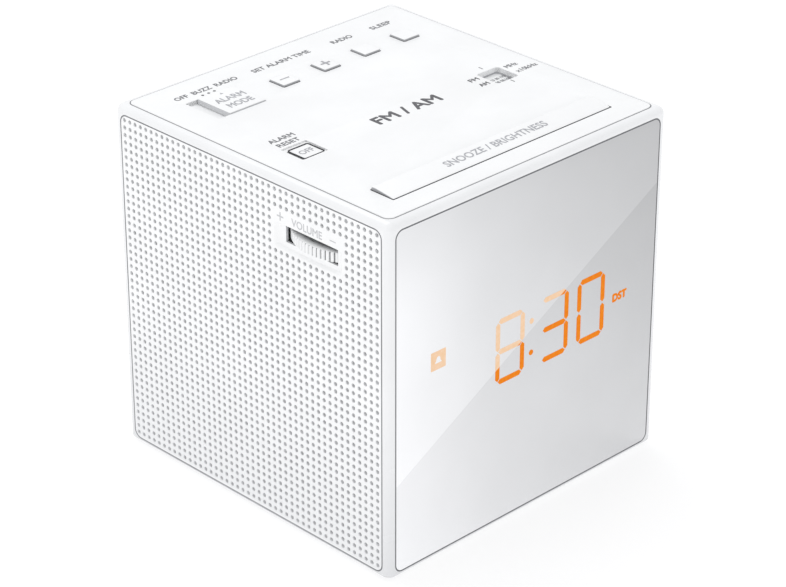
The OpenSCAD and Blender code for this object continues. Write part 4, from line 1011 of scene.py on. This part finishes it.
def rear_cover():
    m = face_matrix("rear")
    outer = rect_ring(FRONT_W - 2 * SEAM, PANEL_H - 2 * SEAM, PANEL_R - SEAM, 0, PANEL_MID, 10)
    holes = [rect_ring(2 * VENT_X, VENT_H, VENT_H / 2 - 0.05, 0, VENT_Z + i * VENT_PITCH + VENT_H / 2, 5)
             for i in range(7)]
    holes.append(span_ring(RECESS_U, RECESS_V, 0.8))
    holes.append(circle_ring(4.05, GLAND_U, GLAND_V, 48))
    holes.append(circle_ring(2.05, BUSH_U, GLAND_V, 36))
    holes.append(span_ring(TRAY_U, TRAY_V, 0.6, 0.2))
    bm = curve_plate("rear", outer, holes, SKIN, PANEL_RIM)
    finish_mesh("rear_panel", bm, mat["panel_white"], "cabinet", replaces=["rear_cover"], place=m)

    bm = bmesh.new()
    inner, wide = span_ring(RECESS_U, RECESS_V, 0.8), span_ring(RECESS_U, RECESS_V, 0.8, 0.9)
    add_loft(bm, [at(wide, -1.6), at(wide, -0.12), at(inner, -0.12), at(inner, -1.6)], closed=True)
    slot_u = (BAND_U - BAND_TRAVEL - 2.55, BAND_U + 2.55)
    holes = [circle_ring(REAR_KEY_R + 0.25, u, REAR_V, 48) for u in REAR_KEY_U.values()]
    holes.append(span_ring(slot_u, (REAR_V - 2.8, REAR_V + 2.8), 0.3))
    plate = curve_plate("recess", span_ring(RECESS_U, RECESS_V, 0.8, 0.5), holes, 1.4, 0.1)
    bmesh.ops.translate(plate, verts=plate.verts, vec=(0, 0, -1.0))
    merge_mesh(bm, plate)
    finish_mesh("rear_recess", bm, mat["grille_white"], "cabinet", slot="panel_white", place=m)

    for key, u in REAR_KEY_U.items():
        bm = bmesh.new()
        r = REAR_KEY_R
        turned(bm, [(0, -4.0), (r + 1, -4.0), (r + 1, -3.5), (r, -3.4), (r, -0.62), (r - 0.1, -0.42),
                    (r - 0.3, -0.32), (r - 0.6, -0.3), (r * 0.6, -0.4), (r * 0.25, -0.5), (0, -0.52)], 48,
               Matrix.Translation((u, REAR_V, 0)))
        finish_mesh(key + "_cap", bm, mat["wheel_white"], key + "_button", smooth=50, replaces=[key + "_key"],
                    slot="key_white", place=m)
    bm = bmesh.new()
    rounded_prism(bm, 4.5, 5.0, 0.3, -3.6, -0.75, BAND_U, REAR_V, edge=0.15)
    for k in range(-2, 3):
        rounded_prism(bm, 0.42, 4.6, 0.15, -0.85, -0.3, BAND_U + 0.85 * k, REAR_V, edge=0.15)
    rounded_prism(bm, 11.2, 7.0, 0.4, -4.5, -3.6, BAND_U, REAR_V, edge=0.1)
    finish_mesh("band_cap", bm, mat["wheel_white"], "band_selector", replaces=["band_knob"], slot="key_white",
                place=m)

    bm = bmesh.new()
    turned(bm, [(2.0, -8.0), (5.4, -8.0), (5.4, -1.65), (4.0, -1.6), (4.0, -0.25), (3.85, -0.1), (3.3, -0.08),
                (3.1, -0.3), (2.75, -0.3), (2.55, -0.08), (2.2, -0.1), (2.0, -0.35)], 56,
           Matrix.Translation((GLAND_U, GLAND_V, 0)))
    finish_mesh("cord_bushing", bm, mat["gland_rubber"], "cabinet", replaces=["cord_gland"], place=m)
    bm = bmesh.new()
    turned(bm, [(0.8, -4.0), (3.0, -4.0), (3.0, -1.65), (2.0, -1.6), (2.0, -0.22), (1.85, -0.1), (1.15, -0.1),
                (0.8, -0.3)], 40, Matrix.Translation((BUSH_U, GLAND_V, 0)))
    finish_mesh("wire_bushing", bm, mat["gland_rubber"], "cabinet", replaces=["antenna_bush"], place=m)

    bm = bmesh.new()
    for k in range(7):
        rounded_prism(bm, 0.5, 3.9, 0.2, -0.25, 0.0, TRAY_U[1] - 2.2 - 1.1 * k, sum(TRAY_V) / 2, edge=0.12)
    finish_mesh("tray_ridges", bm, mat["base_white"], "battery_drawer", slot="base_white", place=m)
    bm = bmesh.new()
    screw_mesh(bm, TRAY_SCREW[0], TRAY_SCREW[1], -0.2, 1.82, 0.6, 7.0)
    finish_mesh("tray_fastener", bm, mat["screw_steel"], "battery_drawer", replaces=["tray_screw"], place=m)


rear_cover()


# ---------------------------------------------------------------- underside
FOOT_X, FOOT_Y = 32.0, 32.5
SCREW_X, SCREW_Y = 43.0, 43.5


def underside():
    m = face_matrix("bottom")
    corners = [(x, y) for x in (-1, 1) for y in (-1, 1)]
    outer = rect_ring(2 * (HX - BASE_BORDER - SEAM), 2 * (HY - BASE_BORDER - SEAM), PANEL_R - SEAM, n=10)
    holes = [rect_ring(2.0, 26.0, 0.95, 5.0 * i, 25.0, 5) for i in range(-3, 4)]
    holes += [circle_ring(2.75, x * SCREW_X, y * SCREW_Y, 40) for x, y in corners]
    holes += [circle_ring(5.12, x * FOOT_X, y * FOOT_Y, 56) for x, y in corners]
    bm = curve_plate("base", outer, holes, 3.2, 0.15)
    finish_mesh("base_plate", bm, mat["base_white"], "cabinet", replaces=["bottom_cover"], place=m)
    bm = bmesh.new()
    for x, y in corners:
        screw_mesh(bm, x * SCREW_X, y * SCREW_Y, -0.4, 2.5, 1.2, 9.5)
    finish_mesh("base_fasteners", bm, mat["screw_steel"], "cabinet", replaces=["case_screws"], place=m)
    bm = bmesh.new()
    for x, y in corners:
        turned(bm, [(0, -1.2), (5.0, -1.2), (5.0, 0.45), (4.85, 0.8), (4.5, 0.97), (4.1, 1.0), (3.3, 1.0),
                    (3.15, 0.85), (2.6, 0.8), (0, 0.8)], 56, Matrix.Translation((x * FOOT_X, y * FOOT_Y, 0)))
    finish_mesh("base_feet", bm, mat["rubber_grey"], "cabinet", replaces=["rubber_feet"], place=m)
    # blank rating plate, framed by a fine raised rim
    bm = bmesh.new()
    inner, wide = rect_ring(43.4, 15.4, 1.2, 0, -14, 6), rect_ring(44.0, 16.0, 1.5, 0, -14, 6)
    add_loft(bm, [at(inner, -0.05), at(wide, -0.05), at(wide, 0.12), at(inner, 0.12)], closed=True)
    finish_mesh("plate_rim", bm, mat["base_white"], "cabinet", place=m)


underside()


# ---------------------------------------------------------------- shadowed gaps
def gap_line(name, face, w, d, r, cx, cy, gap, high, material, body="cabinet", lap=0.04):
    """Thin dark lining in the gap round a panel or key: painted shade for the shadow in the seam."""
    bm = bmesh.new()
    inner = rect_ring(w - 2 * lap, d - 2 * lap, r - lap, cx, cy, 6)
    outer = rect_ring(w + 2 * (gap + lap), d + 2 * (gap + lap), r + gap + lap, cx, cy, 6)
    add_loft(bm, [at(inner, high - 0.2), at(outer, high - 0.2), at(outer, high), at(inner, high)], closed=True)
    finish_mesh(name, bm, material, body, slot="mask_dark", place=face)


def gaps():
    # the linings are painted shade; the darkest go round the keys, the alarm off key, the snooze bar and the display
    # window
    dark, grey = mat["gap_dark"], mat["gap_grey"]
    cap_w, cap_d = 2 * (HX - CAP_BORDER - SEAM), 2 * (HY - CAP_BORDER - SEAM)
    gap_line("gap_top", "top", cap_w, cap_d, PANEL_R - SEAM, 0, 0, SEAM, -0.04 - CAP_STEP, mat["gap_pale"])
    for face, wide in (("left", SIDE_W), ("right", SIDE_W), ("rear", FRONT_W)):
        gap_line("gap_" + face, face, wide - 2 * SEAM, PANEL_H - 2 * SEAM, PANEL_R - SEAM, 0, PANEL_MID, SEAM,
                 -0.035, grey)
    gap_line("gap_front", "front", FRONT_W - 2 * WINDOW_GAP, PANEL_H - 2 * WINDOW_GAP, PANEL_R - WINDOW_GAP, 0,
             PANEL_MID, WINDOW_GAP, -0.035, mat["gap_slate"])
    for k, x in enumerate(KEY_X):
        gap_line("gap_key_%d" % k, "top", KEY, KEY, 0.3, x, KEY_Y, KEY_GAP, -0.04, dark, lap=0.0)
    gap_line("gap_off", "top", OFF[2], OFF[3], 0.4, OFF[0], OFF[1], 0.3, -0.06, dark, lap=0.0)
    gap_line("gap_snooze", "top", SNOOZE_X[1] - SNOOZE_X[0], SNOOZE_Y[1] - SNOOZE_Y[0], 0.3, sum(SNOOZE_X) / 2,
             sum(SNOOZE_Y) / 2, SNOOZE_GAP, -0.04, dark)


gaps()


# ---------------------------------------------------------------- thumbwheels
def thumb_wheel(name, centre, r, low, high, body, replaces, pitch, deep=0.42):
    """Wheel with rounded finger ribs and turned faces."""
    ribs = int(round(2 * math.pi * r / pitch))
    per = 8
    bm = bmesh.new()

    def ring(radius, z, cut):
        points = []
        for i in range(ribs * per):
            t = (i % per) / per
            valley = max(0.0, math.cos(2 * math.pi * t)) ** 0.7
            a = 2 * math.pi * i / (ribs * per)
            rr = radius - cut * valley
            points.append((centre[0] + rr * math.cos(a), centre[1] + rr * math.sin(a), z))
        return points

    rings = [ring(2.2, low, 0), ring(r - 2.6, low, 0), ring(r - 2.4, low, 0), ring(r - 0.5, low, 0)]
    rings += [ring(r - 0.12, low + 0.1, deep * 0.6), ring(r, low + 0.38, deep), ring(r, high - 0.38, deep),
              ring(r - 0.12, high - 0.1, deep * 0.6)]
    rings += [ring(r - 0.5, high, 0), ring(r - 2.4, high, 0), ring(r - 2.6, high - 0.12, 0),
              ring(2.2, high - 0.12, 0)]
    add_loft(bm, rings, closed=True)
    # the faces at the bottom of each rib valley take a dark grey of painted shade
    bm.faces.ensure_lookup_table()
    for level in range(len(rings)):
        for i in range(ribs * per):
            if 4 <= level <= 6 and i % per in (0, per - 1):
                bm.faces[level * ribs * per + i].material_index = 1
    finish_mesh(name, bm, [mat["wheel_white"], mat["groove_painted_shade"]], body, smooth=38, replaces=replaces,
                slot="key_white")


VOLUME = (-35.75, -24.3)
TUNING = (34.6, -19.5)
thumb_wheel("volume_thumbwheel", VOLUME, 16.5, 84.8, 87.6, "volume_control", ["volume_wheel"], 1.296, 0.5)
thumb_wheel("tuning_thumbwheel", TUNING, 17.65, 94.2, 97.3, "tuning_control", ["tuning_wheel"], 1.386)


def shroud(name, centre, r, start, end, low, high):
    """Curved inner wall that closes the view past a thumbwheel."""
    bm = bmesh.new()
    rings = []
    for k in range(15):
        a = math.radians(start + (end - start) * k / 14)
        c, d = -math.cos(a), math.sin(a)
        rings.append([(centre[0] + rr * c, centre[1] + rr * d, z)
                      for rr, z in ((r, low), (r + 0.9, low), (r + 0.9, high), (r, high))])
    add_loft(bm, rings)
    finish_mesh(name, bm, mat["grille_white"], "cabinet", slot="mask_dark")


SHROUD_R = 17.1
SHROUD_TOP = 89.2
shroud("volume_shroud", VOLUME, SHROUD_R, 38, 74, 79.5, SHROUD_TOP)
shroud("volume_shroud_front", VOLUME, SHROUD_R, -72, -38, 84.2, SHROUD_TOP)


# ---------------------------------------------------------------- display window and bars
def display():
    outer = rect_ring(FRONT_W - 2 * WINDOW_GAP, PANEL_H - 2 * WINDOW_GAP, PANEL_R - WINDOW_GAP, 0, PANEL_MID, 10)
    bm = curve_plate("display_window", outer, [], SKIN, PANEL_RIM, 3)
    finish_mesh("display_window", bm, mat["mirror_window"], "cabinet", replaces=["front_window"],
                place="front")

    stroke, wide, tall, split = 1.55, 10.7, 19.1, 0.4
    w, h = wide - stroke, (tall - stroke) / 2
    spots = {"a": (0, h, 0), "g": (0, 0, 0), "d": (0, -h, 0), "b": (w / 2, h / 2, 1), "c": (w / 2, -h / 2, 1),
             "e": (-w / 2, -h / 2, 1), "f": (-w / 2, h / 2, 1)}
    bm = bmesh.new()
    proud = 0.03

    def slab(points):
        add_loft(bm, [at(points, -0.2), at(points, proud)])

    def digit(x, z, bars):
        for bar in bars:
            sx, sz, upright = spots[bar]
            length = (h if upright else w) - split
            half = stroke / 2
            shape = [(-length / 2, 0), (-length / 2 + half, -half), (length / 2 - half, -half), (length / 2, 0),
                     (length / 2 - half, half), (-length / 2 + half, half)]
            if upright:
                shape = [(-q, p) for p, q in shape]
            slab([(x + sx + p, z + sz + q) for p, q in shape])

    z = 52.35
    for x, bars in ((-7.4, "abcdefg"), (9.3, "abcdg"), (23.4, "abcdef")):
        digit(x, z, bars)
    for dot in (47.7, 56.95):
        slab(circle_ring(0.8, 0.6, dot, 24))
    finish_mesh("lit_digits", bm, mat["segment_lit"], "cabinet", replaces=["lit_segments"], place="front")

    # alarm sign: a square with a bell cut out of it
    bm = bmesh.new()
    cx, cz = -33.6, 58.75
    size = 5.3
    bell = [(-1.35, -0.95), (1.35, -0.95), (1.35, -0.6), (0.95, -0.3), (0.8, 0.6), (0.42, 1.15), (-0.42, 1.15),
            (-0.8, 0.6), (-0.95, -0.3), (-1.35, -0.6)]
    outer = rect_ring(size, size, 0.25, cx, cz, 4)
    plate = curve_plate("alarm_sign", outer, [[(cx + p * 0.85, cz + q * 0.85) for p, q in reversed(bell)]], 0.23,
                        0.02, 1)
    bmesh.ops.translate(plate, verts=plate.verts, vec=(0, 0, proud))
    merge_mesh(bm, plate)
    finish_mesh("alarm_sign", bm, mat["segment_lit"], "cabinet", slot="segment_lit", place="front")


display()


# ---------------------------------------------------------------- printed lettering
def lettering(name, text, face, us, vs, material, body="cabinet", lift=0.0, bold=0.05, surface=None):
    """Raised print of a generic word or sign, fitted into a box of its face's own coordinates."""
    data = bpy.data.curves.new(name, "FONT")
    data.body = text
    data.size = 1.0
    data.extrude = 0.004
    data.resolution_u = 3
    obj = bpy.data.objects.new(name, data)
    bpy.context.scene.collection.objects.link(obj)
    bpy.context.view_layer.update()
    mesh = bpy.data.meshes.new_from_object(obj.evaluated_get(bpy.context.evaluated_depsgraph_get()))
    bpy.data.objects.remove(obj)
    bpy.data.curves.remove(data)
    bm = bmesh.new()
    bm.from_mesh(mesh)
    bpy.data.meshes.remove(mesh)
    bmesh.ops.remove_doubles(bm, verts=bm.verts, dist=1e-6)
    xs = [v.co.x for v in bm.verts]
    ys = [v.co.y for v in bm.verts]
    x0, x1, y0, y1 = min(xs), max(xs), min(ys), max(ys)
    for v in bm.verts:
        fx, fy = (v.co.x - x0) / (x1 - x0), (v.co.y - y0) / (y1 - y0)
        across, up = us[0] + fx * (us[1] - us[0]), vs[0] + fy * (vs[1] - vs[0])
        base_w = lift if surface is None else surface(up)
        v.co = Vector((across, up, base_w + (0.02 if v.co.z > 0 else -0.01)))
    shifts = [(-bold, 0), (bold, 0), (0, -bold), (0, bold)] if bold else []
    base = list(bm.verts) + list(bm.edges) + list(bm.faces)
    for k, (dx, dy) in enumerate(shifts):
        copy = bmesh.ops.duplicate(bm, geom=base)["geom"]
        moved = [g for g in copy if isinstance(g, bmesh.types.BMVert)]
        bmesh.ops.translate(bm, verts=moved, vec=(dx, dy, 0.003 * (k + 1)))
    finish_mesh(name, bm, material, body, slot="mask_dark", place=face)


# name, words, face, span across, span up, ink, further settings
LEGENDS = [
    ("print_mode", "OFF  BUZZ  RADIO", "top", (-38.8, -17.3), (40.1, 42.0), "print_grey", dict(bold=0.07)),
    ("print_alarm_time", "SET ALARM TIME", "top", (-11.7, 8.9), (39.9, 41.8), "print_grey", dict(bold=0.07)),
    ("print_radio", "RADIO", "top", (17.3, 24.6), (39.6, 41.5), "print_grey", dict(bold=0.07)),
    ("print_sleep", "SLEEP", "top", (31.9, 39.4), (39.4, 41.3), "print_grey", dict(bold=0.07)),
    ("print_alarm", "ALARM", "top", (-39.4, -31.0), (2.9, 4.8), "print_grey", dict(bold=0.07)),
    ("print_reset", "RESET", "top", (-39.1, -31.9), (-0.2, 1.7), "print_grey", dict(bold=0.07)),
    ("print_bands", "FM / AM", "top", (-11.0, 11.9), (-7.8, -3.6), "print_dark", dict(bold=0.2)),
    ("print_fm", "FM", "top", (25.2, 28.3), (-5.3, -3.6), "print_dark", dict(bold=0.07)),
    ("print_am", "AM", "top", (25.1, 28.3), (-9.2, -7.5), "print_dark", dict(bold=0.07)),
    ("print_mhz", "MHz", "top", (39.0, 43.1), (-5.3, -3.6), "print_grey", dict(bold=0.06)),
    ("print_khz", "x10kHz", "top", (39.1, 46.7), (-9.3, -7.6), "print_grey", dict(bold=0.06)),
    ("print_snooze", "SNOOZE / BRIGHTNESS", "top", (-17.7, 19.0), (-38.9, -36.4), "print_pale",
     dict(body="snooze_button", bold=0.07, surface=snooze_height)),
    ("print_alarm_mode_a", "ALARM", "top", (-32.7, -22.9), (30.6, 33.1), "print_pale",
     dict(body="alarm_mode", lift=KNOB_RISE, bold=0.07)),
    ("print_alarm_mode_b", "MODE", "top", (-31.8, -23.6), (26.5, 29.0), "print_pale",
     dict(body="alarm_mode", lift=KNOB_RISE, bold=0.07)),
    ("print_off", "OFF", "top", (-37.8, -33.3), (-7.1, -5.0), "print_pale",
     dict(body="alarm_off_button", lift=OFF_TOP, bold=0.06)),
    ("print_volume", "VOLUME", "left", (17.0, 28.0), (89.9, 92.0), "print_faint", dict()),
    ("print_volume_plus", "+", "left", (11.6, 14.0), (89.9, 92.3), "print_faint", dict(bold=0.0)),
    ("print_volume_minus", "-", "left", (30.8, 33.0), (90.75, 91.05), "print_faint", dict(bold=0.0)),
    ("print_tuning", "TUNING", "right", (-24.6, -13.9), (88.6, 90.6), "print_pale", dict()),
    ("print_plus", "+", "top", (KEY_X[1] - 1.5, KEY_X[1] + 1.7), (KEY_Y - 1.4, KEY_Y + 1.8), "print_pale",
     dict(body="plus_button", lift=0.76, bold=0.0)),
    ("print_minus", "-", "top", (KEY_X[0] - 1.5, KEY_X[0] + 1.7), (KEY_Y, KEY_Y + 0.36), "print_pale",
     dict(body="minus_button", lift=0.76, bold=0.0)),
    ("print_badge", "DST", "front", (32.2, 37.5), (50.75, 52.95), "segment_lit", dict(bold=0.2)),
    ("print_clock", "CLOCK", "rear", (16.9, 23.1), (70.6, 72.0), "print_grey", dict(bold=0.04)),
    ("print_zone", "ZONE", "rear", (6.4, 11.6), (70.6, 72.0), "print_grey", dict(bold=0.04)),
    ("print_band", "BAND", "rear", (-9.4, -4.2), (70.6, 72.0), "print_grey", dict(bold=0.04)),
    ("print_rear_fm", "FM", "rear", (-6.5, -4.0), (56.2, 57.5), "print_grey", dict(bold=0.04)),
    ("print_rear_am", "AM", "rear", (-9.5, -7.0), (56.2, 57.5), "print_grey", dict(bold=0.04)),
    ("print_antenna", "FM ANTENNA", "rear", (-45.6, -34.4), (19.2, 20.5), "print_grey", dict(bold=0.04)),
    ("print_backup", "BACK UP", "rear", (18.3, 26.7), (11.6, 12.9), "print_grey", dict(bold=0.04)),
]
for name, words, face, us, vs, ink, settings in LEGENDS:
    lettering(name, words, face, us, vs, mat[ink], **settings)


def print_shapes(name, loops, face, material, body="cabinet", lift=0.0):
    """Small printed figures from closed loops of (u, v) points."""
    bm = bmesh.new()
    for loop in loops:
        add_loft(bm, [at(loop, lift - 0.01), at(loop, lift + 0.02)])
    finish_mesh(name, bm, material, body, slot="mask_dark", place=face)


print_shapes("print_dots", [circle_ring(0.42, x, 38.4, 20) for x in (-31.5, -29.4, -27.4)], "top", mat["print_dark"])
print_shapes("print_knob_mark", [[(-28.3, 34.9), (-27.3, 34.9), (-27.8, 35.8)]], "top", mat["print_pale"],
             body="alarm_mode", lift=KNOB_RISE)
for k, (low_value, high_value) in enumerate((("88", "53"), ("98", "80"), ("108", "170"))):
    for value, v0, tall in ((low_value, -7.9, 1.3), (high_value, -5.8, 1.1)):
        wide = 0.5 * tall * len(value)
        lettering("print_scale_%s" % value, value, "top", (32.7 + 1.75 * k, 32.7 + 1.75 * k + wide), (v0, v0 + tall),
                  mat["print_grey"], lift=-DIAL_DEPTH, bold=0.03)
print_shapes("print_dial_marks", [rect_ring(0.34, 1.6, 0.05, 33.8, y, 1) for y in (-0.3, -12.1)], "top",
             mat["print_grey"])


def dial_scale():
    """Printed drum on top of the tuning wheel, close under the dial window."""
    bm = bmesh.new()
    turned(bm, [(2.2, 97.1), (11.2, 97.1), (11.55, 97.5), (11.65, 98.7), (11.5, 98.9), (2.2, 98.9)], 96,
           Matrix.Translation((TUNING[0], TUNING[1], 0)))
    finish_mesh("dial_drum", bm, mat["panel_white"], "tuning_control", slot="key_white")
    flat = Matrix.Translation((TUNING[0], TUNING[1], 98.9))
    marks = []
    for k in range(24):
        a = math.radians(15 * k + 7.5)
        for r0, r1, half in ((8.6, 8.9, 0.08),) if k % 2 else ((8.4, 9.0, 0.1),):
            spots = ((r0, -half), (r1, -half), (r1, half), (r0, half))
            marks.append([(r * math.cos(a) - t * math.sin(a), r * math.sin(a) + t * math.cos(a)) for r, t in spots])
    print_shapes("scale_marks", marks, flat, mat["print_dark"], body="tuning_control", lift=0.01)
    outer = ("88", "90", "92", "94", "96", "98", "100", "102", "104", "106", "108")
    inner = ("53", "56", "60", "65", "70", "80", "95", "110", "130", "150", "170")
    for values, radius, tall in ((outer, 10.2, 1.5), (inner, 7.2, 1.3)):
        for k, value in enumerate(values):
            wide = 0.62 * tall * len(value)
            lettering("scale_%s" % value, value, flat @ Matrix.Rotation(math.radians(150 - 30 * k), 4, "Z"),
                      (-wide / 2, wide / 2), (radius - tall / 2, radius + tall / 2), mat["print_dark"],
                      body="tuning_control", lift=0.01, bold=0.05)


dial_scale()


# ---------------------------------------------------------------- stage
def stage():
    bm = bmesh.new()
    bmesh.ops.create_grid(bm, x_segments=1, y_segments=1, size=6.0)
    mesh = bpy.data.meshes.new("floor")
    bm.to_mesh(mesh)
    bm.free()
    floor = bpy.data.objects.new("floor", mesh)
    bpy.context.scene.collection.objects.link(floor)
    material = bpy.data.materials.new("floor_white")
    material.use_nodes = True
    shader = material.node_tree.nodes["Principled BSDF"]
    shader.inputs["Base Color"].default_value = (0.45, 0.45, 0.452, 1)
    shader.inputs["Emission Color"].default_value = (1.0, 1.0, 1.0, 1)
    shader.inputs["Emission Strength"].default_value = 0.62
    shader.inputs["Roughness"].default_value = 0.85
    shader.inputs["Specular IOR Level"].default_value = 0.1
    mesh.materials.append(material)

    world = bpy.data.worlds.new("studio")
    bpy.context.scene.world = world
    world.use_nodes = True
    background = world.node_tree.nodes["Background"]
    background.inputs["Color"].default_value = (0.985, 0.99, 1.0, 1)
    background.inputs["Strength"].default_value = 0.86

    def softbox(name, place, target, size, power):
        light = bpy.data.lights.new(name, "AREA")
        light.shape = "RECTANGLE"
        light.size, light.size_y = size
        light.energy = power
        obj = bpy.data.objects.new(name, light)
        bpy.context.scene.collection.objects.link(obj)
        obj.location = place
        obj.rotation_euler = (Vector(target) - Vector(place)).to_track_quat("-Z", "Y").to_euler()

    softbox("softbox_top", (0.05, 0.35, 0.95), (0, 0, 0.05), (0.7, 0.7), 2.1)
    softbox("softbox_left", (-0.95, -0.15, 0.45), (0, 0, 0.05), (0.6, 0.6), 0.6)
    bpy.context.scene.view_settings.view_transform = "Standard"


stage()
